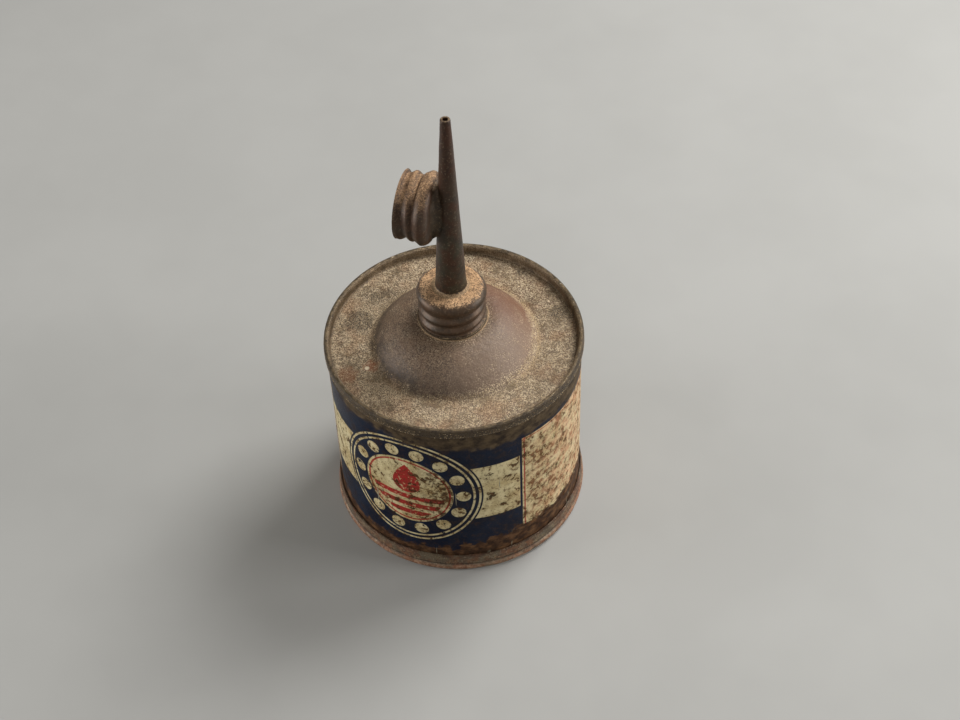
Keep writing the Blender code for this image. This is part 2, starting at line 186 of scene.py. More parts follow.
def arc(centre, radius, start_deg, end_deg, steps):
    """Points along an arc in the (radius, height) plane, both ends included."""
    angles = [math.radians(start_deg + (end_deg - start_deg) * step / steps) for step in range(steps + 1)]
    return [(centre[0] + radius * math.cos(angle), centre[1] + radius * math.sin(angle)) for angle in angles]


def line(start, end, spacing):
    """Points from start to end, no further apart than spacing, both ends included."""
    start, end = Vector(start), Vector(end)
    count = max(1, math.ceil((end - start).length / spacing))
    return [tuple(start.lerp(end, step / count)) for step in range(count + 1)]


def sheet(path, thickness):
    """The closed outline of a sheet that lies on the left of an open path, with mitred corners."""
    points = [Vector(path[0])]
    for point in path[1:]:
        if (Vector(point) - points[-1]).length > WELD:
            points.append(Vector(point))
    runs = [(after - before).normalized() for before, after in zip(points, points[1:])]
    sides = [Vector((-run.y, run.x)) for run in runs]
    inner = []
    for point, before, after in zip(points, sides[:1] + sides, sides + sides[-1:]):
        corner = point + (before + after) * (thickness / (1.0 + before.dot(after)))
        if point.x < WELD:
            corner.x = 0.0
        inner.append(corner)
    return [tuple(point) for point in points + inner[::-1]]


def spun(section, segments):
    """Spin an outline of (radius, height) points about Z into one closed shape."""
    shape = bmesh.new()
    verts = [shape.verts.new((radius, 0.0, height)) for radius, height in section]
    edges = []
    for first, second in zip(verts, verts[1:] + verts[:1]):
        if max(first.co.x, second.co.x) > WELD:
            edges.append(shape.edges.new((first, second)))
    bmesh.ops.spin(shape, geom=verts + edges, axis=(0.0, 0.0, 1.0), cent=(0.0, 0.0, 0.0),
                   angle=FULL_TURN, steps=segments, use_merge=True)
    bmesh.ops.remove_doubles(shape, verts=shape.verts, dist=WELD)
    bmesh.ops.recalc_face_normals(shape, faces=shape.faces)
    return shape


def lofted(rings):
    """Join rings of points, one above another, into one closed shape with both ends capped."""
    shape = bmesh.new()
    loops = [[shape.verts.new(point) for point in ring] for ring in rings]
    for below, above in zip(loops, loops[1:]):
        for index in range(len(below)):
            after = (index + 1) % len(below)
            shape.faces.new((below[index], below[after], above[after], above[index]))
    shape.faces.new(loops[0][::-1])
    shape.faces.new(loops[-1])
    bmesh.ops.recalc_face_normals(shape, faces=shape.faces)
    return shape


def knocked(shape, direction, size, depth, seed):
    """Push every vertex against its direction by up to depth, in smooth noise: the knocks of a used can."""
    offset = Vector((seed, 0.0, 0.0))
    for vert in shape.verts:
        share = 0.5 + 0.5 * noise.noise(vert.co / size + offset)
        vert.co -= direction(vert.co) * (depth * min(1.0, max(0.0, share)))


def outward(point):
    """Unit direction away from the Z axis."""
    return Vector((point.x, point.y, 0.0)).normalized()


def upward(point):
    """Up, less and less towards the rim, so that the seam stays round."""
    return Vector((0.0, 0.0, 1.0 - min(1.0, math.hypot(point.x, point.y) / BODY_HIGH.x) ** 8))


def mesh_of(name, shape, matrix=None):
    """A mesh of a shape, set in its place."""
    mesh = bpy.data.meshes.new(name)
    shape.to_mesh(mesh)
    shape.free()
    if matrix:
        mesh.transform(matrix)
    return mesh


def placed(name, data):
    """A new object in the scene, at the origin."""
    thing = bpy.data.objects.new(name, data)
    bpy.context.scene.collection.objects.link(thing)
    return thing


def smooth(mesh):
    """Shade smooth up to the pressed edges."""
    mesh.shade_smooth()
    mesh.set_sharp_from_angle(angle=SHARP_ANGLE)


def piece(name, shape, material, matrix=None):
    """A smooth object at the origin, with its place in its mesh."""
    mesh = mesh_of(name, shape, matrix)
    mesh.materials.append(material)
    smooth(mesh)
    return placed(name, mesh)


def seat(thing, body, slot, *nodes):
    """Attach a piece to its body and hide the model's nodes that it stands for; the slot is not used."""
    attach(thing, body)
    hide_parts(*nodes)


# Nodes

def connect(tree, target, value):
    """Give a socket a value, or a link from another node or one of its outputs."""
    if isinstance(value, bpy.types.Node):
        value = next(socket for socket in value.outputs if socket.enabled)
    if isinstance(value, bpy.types.NodeSocket):
        tree.links.new(value, target)
    else:
        target.default_value = value


def add(tree, kind, links=None, **settings):
    """A node with its settings and its inputs, each keyed by its place or its name."""
    item = tree.nodes.new(kind)
    for name, value in settings.items():
        setattr(item, name, value)
    usable = [socket for socket in item.inputs if socket.enabled]
    for key, value in (links or {}).items():
        target = usable[key] if isinstance(key, int) else next(s for s in usable if s.name == key)
        connect(tree, target, value)
    return item


def reckon(tree, value, *steps):
    """Carry a value through steps of arithmetic, each an operation and what it takes besides the value."""
    for operation, *others in steps:
        value = add(tree, "ShaderNodeMath", dict(enumerate((value, *others))), operation=operation)
    return value


def geometry_tree(name, sizes):
    """An empty Geometry Nodes tree with a geometry, a material and the named sizes as inputs."""
    tree = bpy.data.node_groups.new(name, "GeometryNodeTree")
    tree.interface.new_socket("Geometry", in_out="OUTPUT", socket_type="NodeSocketGeometry")
    tree.interface.new_socket("Geometry", in_out="INPUT", socket_type="NodeSocketGeometry")
    tree.interface.new_socket("Material", in_out="INPUT", socket_type="NodeSocketMaterial")
    for size in sizes:
        tree.interface.new_socket(size, in_out="INPUT", socket_type="NodeSocketFloat")
    return tree, add(tree, "NodeGroupInput").outputs


def close_tree(tree, inputs, shape):
    """End a tree in real geometry with its material."""
    real = add(tree, "GeometryNodeRealizeInstances", {"Geometry": shape})
    painted = add(tree, "GeometryNodeSetMaterial", {"Geometry": real, "Material": inputs["Material"]})
    add(tree, "NodeGroupOutput", {"Geometry": painted})


def grow(thing, tree, material, sizes):
    """Run a tree on an object and keep the result as its plain mesh."""
    modifier = thing.modifiers.new(tree.name, "NODES")
    modifier.node_group = tree
    for item in tree.interface.items_tree:
        if item.in_out == "INPUT" and item.name in sizes:
            modifier[item.identifier] = sizes[item.name]
        elif item.in_out == "INPUT" and item.name == "Material":
            modifier[item.identifier] = material
    evaluated = thing.evaluated_get(bpy.context.evaluated_depsgraph_get())
    mesh = bpy.data.meshes.new_from_object(evaluated)
    thing.modifiers.remove(modifier)
    mesh.name = thing.name
    thing.data = mesh
    smooth(mesh)


def rolled_thread_tree():
    """Rolls a right-hand thread into a wall spun about Z: Inward 1 sinks its grooves, 0 raises its crests."""
    tree, inputs = geometry_tree("rolled_thread", ("Pitch", "Depth", "Crest Height", "Crest Angle",
                                                   "Low", "High", "Fade", "Inward"))
    part = add(tree, "ShaderNodeSeparateXYZ", {0: add(tree, "GeometryNodeInputPosition")}).outputs
    flat = add(tree, "ShaderNodeCombineXYZ", {"X": part["X"], "Y": part["Y"]})
    outwards = add(tree, "ShaderNodeVectorMath", {0: flat}, operation="NORMALIZE")
    behind = reckon(tree, part["Y"], ("ARCTAN2", part["X"]), ("SUBTRACT", inputs["Crest Angle"]))
    wave = reckon(tree, part["Z"], ("SUBTRACT", inputs["Crest Height"]), ("DIVIDE", inputs["Pitch"]),
                  ("MULTIPLY", FULL_TURN), ("SUBTRACT", behind), ("COSINE",),
                  ("MULTIPLY_ADD", 0.5, 0.5), ("SUBTRACT", inputs["Inward"]))
    drop = reckon(tree, inputs["High"], ("SUBTRACT", part["Z"]))
    strength = reckon(tree, part["Z"], ("SUBTRACT", inputs["Low"]), ("MINIMUM", drop),
                      ("DIVIDE", inputs["Fade"]), ("MAXIMUM", 0.0), ("MINIMUM", 1.0))
    shift = reckon(tree, wave, ("MULTIPLY", strength), ("MULTIPLY", inputs["Depth"]))
    offset = add(tree, "ShaderNodeVectorMath", {0: outwards, "Scale": shift}, operation="SCALE")
    rolled = add(tree, "GeometryNodeSetPosition", {"Geometry": inputs["Geometry"], "Offset": offset})
    close_tree(tree, inputs, rolled)


def solder_run_tree():
    """Lays an uneven bead of solder along a line of edges, thinner at both ends."""
    tree, inputs = geometry_tree("solder_run", ("Radius", "Step", "Unevenness", "Wave"))
    path = add(tree, "GeometryNodeMeshToCurve", {"Mesh": inputs["Geometry"]})
    path = add(tree, "GeometryNodeResampleCurve", {"Curve": path, "Length": inputs["Step"]}, mode="LENGTH")
    place = add(tree, "GeometryNodeInputPosition")
    scale = reckon(tree, 1.0, ("DIVIDE", inputs["Wave"]))
    lump = add(tree, "ShaderNodeTexNoise", {"Vector": place, "Scale": scale, "Detail": 2.0})
    along = add(tree, "GeometryNodeSplineParameter").outputs["Factor"]
    ends = reckon(tree, along, ("MULTIPLY_ADD", 2.0, -1.0), ("ABSOLUTE",), ("POWER", 6.0))
    full = reckon(tree, 1.0, ("SUBTRACT", ends), ("MAXIMUM", 0.15), ("SQRT",))
    radius = reckon(tree, lump, ("SUBTRACT", 0.5), ("MULTIPLY_ADD", inputs["Unevenness"], 1.0),
                    ("MULTIPLY", inputs["Radius"]), ("MULTIPLY", full))
    round_wire = add(tree, "GeometryNodeCurvePrimitiveCircle", {"Resolution": 14, "Radius": 1.0})
    bead = add(tree, "GeometryNodeCurveToMesh", {"Curve": path, "Profile Curve": round_wire,
                                                 "Scale": radius, "Fill Caps": True})
    close_tree(tree, inputs, bead)


def grit_tree():
    """Scatters grains of grit or scale on the faces that look up or outwards, gathered by noise."""
    tree, inputs = geometry_tree("grit", ("Density", "Size", "Flatness", "Patch", "Low", "High", "Sparse"))
    place = add(tree, "GeometryNodeInputPosition")
    part = add(tree, "ShaderNodeSeparateXYZ", {0: place}).outputs
    flat = add(tree, "ShaderNodeCombineXYZ", {"X": part["X"], "Y": part["Y"], "Z": 1.0})
    flat = add(tree, "ShaderNodeVectorMath", {0: flat, 1: Vector((30.0, 30.0, 1.0))}, operation="MULTIPLY")
    normal = add(tree, "GeometryNodeInputNormal")
    facing = add(tree, "ShaderNodeVectorMath", {0: normal, 1: flat}, operation="DOT_PRODUCT")
    looks_out = {"A": facing.outputs["Value"], "B": 0.3}
    within = add(tree, "FunctionNodeCompare", looks_out, operation="GREATER_THAN")
    for operation, limit in (("GREATER_THAN", "Low"), ("LESS_THAN", "High")):
        side = add(tree, "FunctionNodeCompare", {"A": part["Z"], "B": inputs[limit]}, operation=operation)
        within = add(tree, "FunctionNodeBooleanMath", {0: within, 1: side}, operation="AND")
    spots = add(tree, "GeometryNodeDistributePointsOnFaces",
                {"Mesh": inputs["Geometry"], "Selection": within, "Density": inputs["Density"], "Seed": 5},
                distribute_method="RANDOM")
    scale = reckon(tree, 1.0, ("DIVIDE", inputs["Patch"]))
    gather = add(tree, "ShaderNodeTexNoise", {"Vector": place, "Scale": scale, "Detail": 3.0})
    gone = add(tree, "FunctionNodeCompare", {"A": gather, "B": inputs["Sparse"]}, operation="LESS_THAN")
    kept = add(tree, "GeometryNodeDeleteGeometry", {"Geometry": spots.outputs["Points"], "Selection": gone},
               domain="POINT")
    grain = add(tree, "GeometryNodeMeshIcoSphere", {"Radius": 1.0, "Subdivisions": 1})
    spread = add(tree, "FunctionNodeRandomValue", {"Min": 0.35, "Max": 1.0, "Seed": 8}, data_type="FLOAT")
    width = reckon(tree, spread, ("MULTIPLY", inputs["Size"]))
    thick = reckon(tree, width, ("MULTIPLY", inputs["Flatness"]))
    scale = add(tree, "ShaderNodeCombineXYZ", {"X": width, "Y": width, "Z": thick})
    crust = add(tree, "GeometryNodeInstanceOnPoints",
                {"Points": kept, "Instance": grain, "Rotation": spots.outputs["Rotation"], "Scale": scale})
    close_tree(tree, inputs, crust)


# Finishes

def new_material(name):
    """A material with its tree, its shader and its point in the model's own metres."""
    material = bpy.data.materials.new(name)
    material.use_nodes = True
    tree = material.node_tree
    point = add(tree, "ShaderNodeTexCoord").outputs["Object"]
    return material, tree, tree.nodes["Principled BSDF"], point


def rgba(value):
    """A property's colour or a hex code as a node colour."""
    return (*(linear(value) if isinstance(value, str) else value), 1.0)


def measure(tree, operation, *vectors):
    """The number that an operation on vectors gives."""
    return add(tree, "ShaderNodeVectorMath", dict(enumerate(vectors)), operation=operation).outputs["Value"]


def all_of(tree, *masks):
    """Where all masks meet."""
    return reckon(tree, masks[0], *(("MULTIPLY", mask) for mask in masks[1:]))


def any_of(tree, *masks):
    """Where at least one mask is."""
    return reckon(tree, masks[0], *(("MAXIMUM", mask) for mask in masks[1:]))


def coat(tree, under, over, *masks):
    """One colour laid over another where all masks meet."""
    under, over = (item if isinstance(item, (bpy.types.Node, bpy.types.NodeSocket)) else rgba(item)
                   for item in (under, over))
    mask = all_of(tree, *masks)
    return add(tree, "ShaderNodeMix", {"Factor": mask, "A": under, "B": over}, data_type="RGBA")


def cloud(tree, point, size, low=0.0, high=1.0, detail=3.0, roughness=0.6):
    """Noise with features of a real size in millimetres, spread to 0 below low and 1 above high."""
    grain = add(tree, "ShaderNodeTexNoise",
                {"Vector": point, "Scale": 1.0 / (size * MM), "Detail": detail, "Roughness": roughness})
    return add(tree, "ShaderNodeMapRange", {"Value": grain, "From Min": low, "From Max": high})


def ramp(tree, value, low, high):
    """0 below low and 1 above high, smooth between them; the other way round if low is above high."""
    return add(tree, "ShaderNodeMapRange", {"Value": value, "From Min": low, "From Max": high},
               interpolation_type="SMOOTHSTEP")


def band(tree, value, low, high, soft):
    """1 between low and high, and 0 outside, with soft edges."""
    away = reckon(tree, value, ("SUBTRACT", (low + high) / 2.0), ("ABSOLUTE",))
    half = (high - low) / 2.0
    return ramp(tree, away, half + soft, half - soft)


def blend_value(tree, mask, low, high):
    """A number that goes from low to high with a mask."""
    return add(tree, "ShaderNodeMapRange", {"Value": mask, "To Min": low, "To Max": high})


def relief(tree, shader, height, depth):
    """Bump of a real depth in metres from a 0 to 1 height."""
    bump = add(tree, "ShaderNodeBump", {"Strength": 1.0, "Distance": depth, "Height": height})
    tree.links.new(bump.outputs["Normal"], shader.inputs["Normal"])


def feed(tree, shader, **sockets):
    """Link or set the shader's sockets, named with underscores."""
    for name, value in sockets.items():
        connect(tree, shader.inputs[name.replace("_", " ")], value)


# Label layout, measured round the can from the medallion's middle and up from it
MEDALLION_SIDE, MEDALLION_HEIGHT, MEDALLION_GROUND = math.radians(-97.5), 34.5 * MM, 22.9 * MM
RING_RADII, RING_HALF_WIDTH = (22.0 * MM, 20.3 * MM), 0.33 * MM
BAND_LOW, BAND_HIGH = 23.6 * MM, 46.7 * MM
PANEL_NEAR, PANEL_FAR, PANEL_GAP = 35.2 * MM, 89.6 * MM, 0.8 * MM
PANEL_LOW, PANEL_HIGH = 12.2 * MM, 53.8 * MM
PRINT_LOW, PRINT_HIGH = 9.5 * MM, 57.2 * MM
INK_EDGE, LINE_EDGE = 0.10 * MM, 0.05 * MM
BADGE_RADIUS, RULES_RADIUS = 14.1 * MM, 11.6 * MM
BALLS, BALL_CIRCLE, BALL_RADIUS = 14, 17.05 * MM, 2.2 * MM
DROP_LOW, DROP_HIGH, DROP_WIDTH = -0.9 * MM, 11.6 * MM, 11.4 * MM
RULE_PITCH, RULE_HEIGHT = 3.5 * MM, 2.1 * MM
ROW_PITCH = 2.3 * MM
CLIMB_RIGHT, CLIMB_LEFT = 5.5 * MM, 3.0 * MM

# Stains on the top: place, size and colour
STAINS = (((-29.4 * MM, 0.5 * MM), 3.8 * MM, "#43382B"), ((-27.7 * MM, 10.7 * MM), 2.2 * MM, "#4E4233"),
          ((26.9 * MM, 18.1 * MM), 2.8 * MM, "#453A2E"), ((-20.5 * MM, -15.7 * MM), 1.9 * MM, "#8A4B2A"),
          ((11.8 * MM, 31.7 * MM), 1.6 * MM, "#4A3E30"), ((-26.0 * MM, -21.0 * MM), 3.0 * MM, "#7A4C2E"))
CHIP = (-21.4 * MM, -16.9 * MM)


def medallion(tree, point, across, above, distance, badge):
    """Cream of the medallion: a bearing of two fine rings and a ring of balls, and the badge inside it."""
    marks = [band(tree, distance, radius - RING_HALF_WIDTH, radius + RING_HALF_WIDTH, INK_EDGE)
             for radius in RING_RADII]
    along = reckon(tree, above, ("ARCTAN2", across), ("MULTIPLY", BALLS / FULL_TURN), ("WRAP", 0.5, -0.5),
                   ("MULTIPLY", FULL_TURN / BALLS * BALL_CIRCLE))
    outwards = reckon(tree, distance, ("SUBTRACT", BALL_CIRCLE))
    ball = measure(tree, "LENGTH", add(tree, "ShaderNodeCombineXYZ", {"X": along, "Y": outwards}))
    marks.append(ramp(tree, ball, BALL_RADIUS + INK_EDGE, BALL_RADIUS - INK_EDGE))
    unworn = cloud(tree, point, 1.6, 0.34, 0.40)
    return any_of(tree, all_of(tree, any_of(tree, *marks), unworn), badge)


def emblem(tree, side, above, distance):
    """Red of the badge: a ring at its edge, and a drop over plain rules."""
    ring = band(tree, distance, BADGE_RADIUS - 1.3 * MM, BADGE_RADIUS - 0.7 * MM, INK_EDGE)
    share = add(tree, "ShaderNodeMapRange", {"Value": above, "From Min": DROP_LOW, "From Max": DROP_HIGH})
    tapered = reckon(tree, 1.0, ("SUBTRACT", share))
    inside = reckon(tree, share, ("POWER", 0.5), ("MULTIPLY", tapered), ("MULTIPLY", DROP_WIDTH),
                    ("SUBTRACT", side))
    drop = ramp(tree, inside, -0.05 * MM, 0.15 * MM)
    below = reckon(tree, above, ("SUBTRACT", DROP_LOW - 0.9 * MM))
    row = reckon(tree, below, ("SNAP", RULE_PITCH))
    rise = reckon(tree, below, ("SUBTRACT", row))
    rule = all_of(tree, band(tree, rise, RULE_PITCH - RULE_HEIGHT, RULE_PITCH - LINE_EDGE, INK_EDGE),
                  ramp(tree, below, LINE_EDGE, -LINE_EDGE),
                  ramp(tree, distance, RULES_RADIUS + INK_EDGE, RULES_RADIUS - INK_EDGE))
    return any_of(tree, ring, drop, rule)


def panel_lines(tree, side, height):
    """Red border line inside the side panels."""
    return any_of(tree, band(tree, side, PANEL_NEAR + 0.55 * MM, PANEL_NEAR + 1.0 * MM, LINE_EDGE),
                  band(tree, side, PANEL_FAR - 1.0 * MM, PANEL_FAR - 0.55 * MM, LINE_EDGE),
                  band(tree, height, PANEL_HIGH - 0.9 * MM, PANEL_HIGH - 0.55 * MM, LINE_EDGE))


def panel_rows(tree, point, across, side, height):
    """Worn, broken rules in rows on the side panels."""
    upright = reckon(tree, height, ("PINGPONG", ROW_PITCH / 2.0))
    row = reckon(tree, height, ("SNAP", ROW_PITCH))
    dashes = add(tree, "ShaderNodeCombineXYZ", {"X": across, "Y": row})
    return all_of(tree, ramp(tree, upright, 0.75 * MM, 0.45 * MM), cloud(tree, dashes, 1.5, 0.44, 0.52),
                  band(tree, side, PANEL_NEAR + 2.8 * MM, PANEL_FAR - 2.8 * MM, 0.2 * MM),
                  band(tree, height, PANEL_LOW + 4.5 * MM, PANEL_HIGH - 2.2 * MM, 0.2 * MM),
                  cloud(tree, point, 5.0, 0.36, 0.60), cloud(tree, point, 0.8, 0.40, 0.56))


def rust_through_ink(tree, point, across, panel, badge, cream_area):
    """Pin specks, flecks, blots and crowds of rust, fewer on the dark ink."""
    gathered = blend_value(tree, cloud(tree, point, 6.0, 0.36, 0.60), 0.3, 1.0)
    specks = all_of(tree, cloud(tree, point, 0.55, 0.57, 0.61, roughness=0.65), gathered)
    flecks = all_of(tree, cloud(tree, point, 1.5, 0.56, 0.585, detail=5.0, roughness=0.68),
                    cloud(tree, point, 7.0, 0.42, 0.54))
    blots = cloud(tree, point, 3.0, 0.585, 0.61, detail=6.0, roughness=0.62)
    crowd = all_of(tree, cloud(tree, point, 1.7, 0.515, 0.545, detail=5.0, roughness=0.65),
                   cloud(tree, point, 6.0, 0.42, 0.54), panel)
    worn_badge = all_of(tree, badge, ramp(tree, across, 2.0 * MM, 10.0 * MM),
                        cloud(tree, point, 1.3, 0.46, 0.56, detail=5.0))
    rust = any_of(tree, specks, flecks, blots, crowd, worn_badge)
    return all_of(tree, rust, blend_value(tree, cream_area, 0.25, 1.0))


def inked_area(tree, point, right, height):
    """Where print is left: the rust climbs from the bottom seam and the ink thins out under the rim."""
    left_climb = reckon(tree, ramp(tree, right, -22.0 * MM, -37.0 * MM), ("MULTIPLY", CLIMB_LEFT))
    climb = reckon(tree, ramp(tree, right, 2.0 * MM, 34.0 * MM), ("MULTIPLY_ADD", CLIMB_RIGHT, left_climb))
    ragged = reckon(tree, cloud(tree, point, 4.2, 0.2, 0.8, detail=6.0, roughness=0.68),
                    ("MULTIPLY_ADD", 7.5 * MM, height), ("SUBTRACT", climb))
    thinning = reckon(tree, cloud(tree, point, 7.0, 0.2, 0.8, detail=6.0), ("MULTIPLY_ADD", 5.0 * MM, height))
    thinning = reckon(tree, ramp(tree, right, -20.0 * MM, 30.0 * MM), ("MULTIPLY_ADD", 2.5 * MM, thinning))
    return all_of(tree, ramp(tree, ragged, PRINT_LOW + 3.2 * MM, PRINT_LOW + 4.4 * MM),
                  ramp(tree, thinning, PRINT_HIGH + 3.6 * MM, PRINT_HIGH + 1.6 * MM))


def bare_ends(tree, point, colours, across, height):
    """Dull tin where the print has gone, rusted low down."""
    streak_point = add(tree, "ShaderNodeCombineXYZ", {"X": across, "Y": height})
    streak_point = add(tree, "ShaderNodeMapping", {"Vector": streak_point, "Scale": (0.6, 1.0, 1.0)})
    streaks = cloud(tree, streak_point, 2.0, 0.46, 0.66, detail=6.0)
    bare = coat(tree, "#4A3D2D", "#2A211A", cloud(tree, point, 2.4, 0.38, 0.64, detail=5.0))
    bare = coat(tree, bare, "#756248", streaks, 0.45)
    rusted = coat(tree, colours.rust, "#2E1F15", cloud(tree, point, 1.8, 0.42, 0.62, detail=5.0))
    rusted = coat(tree, rusted, "#735338", streaks, 0.75)
    return coat(tree, bare, rusted, ramp(tree, height, 24.0 * MM, 12.0 * MM))


def litho_enamel(colours, sizes):
    """Offset-printed enamel on tinplate: dull gloss, crisp ink edges, rust coming through in specks."""
    material, tree, shader, point = new_material("litho_enamel")
    right, back, height = add(tree, "ShaderNodeSeparateXYZ", {0: point}).outputs
    across = reckon(tree, back, ("ARCTAN2", right), ("SUBTRACT", MEDALLION_SIDE), ("WRAP", math.pi, -math.pi),
                    ("MULTIPLY", sizes.body_radius))
    side = reckon(tree, across, ("ABSOLUTE",))
    above = reckon(tree, height, ("SUBTRACT", MEDALLION_HEIGHT))
    distance = measure(tree, "LENGTH", add(tree, "ShaderNodeCombineXYZ", {"X": across, "Y": above}))

    # Cream on blue: the bands, the medallion and the side panels
    ink = coat(tree, colours.navy, colours.navy_worn, cloud(tree, point, 9.0, 0.42, 0.62))
    cream = coat(tree, colours.cream, colours.cream_aged, cloud(tree, point, 6.0, 0.40, 0.68, detail=5.0))
    clear_of_panel = any_of(
        tree, ramp(tree, side, PANEL_NEAR - PANEL_GAP + INK_EDGE, PANEL_NEAR - PANEL_GAP - INK_EDGE),
        ramp(tree, side, PANEL_FAR + PANEL_GAP - INK_EDGE, PANEL_FAR + PANEL_GAP + INK_EDGE))
    stripe = all_of(tree, band(tree, height, BAND_LOW, BAND_HIGH, INK_EDGE), clear_of_panel,
                    ramp(tree, distance, MEDALLION_GROUND - INK_EDGE, MEDALLION_GROUND + INK_EDGE))
    badge = ramp(tree, distance, BADGE_RADIUS + INK_EDGE, BADGE_RADIUS - INK_EDGE)
    stripe = any_of(tree, stripe, medallion(tree, point, across, above, distance, badge))
    panel = all_of(tree, band(tree, side, PANEL_NEAR, PANEL_FAR, INK_EDGE),
                   band(tree, height, PANEL_LOW, PANEL_HIGH, INK_EDGE))
    cream_area = any_of(tree, stripe, panel)
    ground = coat(tree, coat(tree, ink, cream, stripe), cream, panel)

    # Red and brown on the cream, then the rust and the blush of age
    lines = all_of(tree, panel_lines(tree, side, height), panel)
    red = any_of(tree, emblem(tree, side, above, distance), lines)
    ground = coat(tree, ground, colours.red, red, cloud(tree, point, 1.1, 0.33, 0.42, detail=4.0))
    ground = coat(tree, ground, "#5A3E28", panel_rows(tree, point, across, side, height))
    specks = rust_through_ink(tree, point, across, panel, badge, cream_area)
    speck_colour = coat(tree, "#2E1F13", "#5E3D22", cloud(tree, point, 1.1, 0.40, 0.60))
    ground = coat(tree, ground, speck_colour, specks, 0.92)
    blush_side = ramp(tree, right, 0.60 * sizes.body_radius, sizes.body_radius)
    ground = coat(tree, ground, "#C9916C", cream_area, blush_side, cloud(tree, point, 2.5, 0.35, 0.65), 0.6)

    # Worn ends, scratches, grime and dust over it all
    inked = inked_area(tree, point, right, height)
    final = coat(tree, bare_ends(tree, point, colours, across, height), ground, inked)
    scratch_point = add(tree, "ShaderNodeMapping", {"Vector": point, "Scale": (900.0, 900.0, 60.0)})
    scratches = add(tree, "ShaderNodeTexNoise", {"Vector": scratch_point, "Scale": 1.0, "Detail": 1.0})
    scratches = ramp(tree, scratches, 0.715, 0.74)
    final = coat(tree, final, "#8C8672", scratches, cloud(tree, point, 12.0, 0.48, 0.56))
    final = coat(tree, final, "#2E2418", cloud(tree, point, 3.0, 0.42, 0.70, detail=5.0), 0.30, inked)
    final = coat(tree, final, "#8A7C66", cloud(tree, point, 0.5, 0.62, 0.80), 0.16)

    gloss = reckon(tree, specks, ("MULTIPLY_ADD", 0.4, blend_value(tree, inked, 0.60, 0.36)))
    pits = reckon(tree, specks, ("MULTIPLY_ADD", -1.0, cloud(tree, point, 1.5)))
    relief(tree, shader, pits, 0.04 * MM)
    feed(tree, shader, Base_Color=final, Roughness=gloss, Metallic=0.0, IOR=1.5, Specular_IOR_Level=0.10)
    return material


def top_rim(tree, sizes, point, radius, height, grain, coarse):
    """Colour and area of the rim: oily brown metal, dusty inside, with a worn bright line on its crest and
    painted glints on the crest.
    """
    wall = chuck_radius(sizes)
    rim = coat(tree, "#473927", "#2A2017", cloud(tree, point, 2.6, 0.40, 0.62, detail=6.0))
    rim = coat(tree, rim, "#6E604A", grain, coarse, 0.55)
    hollow = ramp(tree, radius, wall + 0.75 * MM, wall + 0.45 * MM)
    dust = coat(tree, "#5C4C38", "#9C866A", grain)
    rim = coat(tree, rim, dust, hollow, cloud(tree, point, 3.0, 0.25, 0.55), 0.80)
    crest = band(tree, height, sizes.can_height - 0.05 * MM, sizes.can_height + 0.5 * MM, 0.10 * MM)
    rim = coat(tree, rim, "#A38C68", crest, cloud(tree, point, 1.6, 0.40, 0.60, detail=4.0), 0.55)
    # Painted glints: near-white specks on the crest
    rim = coat(tree, rim, "#D8CBB0", cloud(tree, point, 0.8, 0.66, 0.71), crest)
    return rim, ramp(tree, radius, wall - 0.9 * MM, wall - 0.2 * MM)


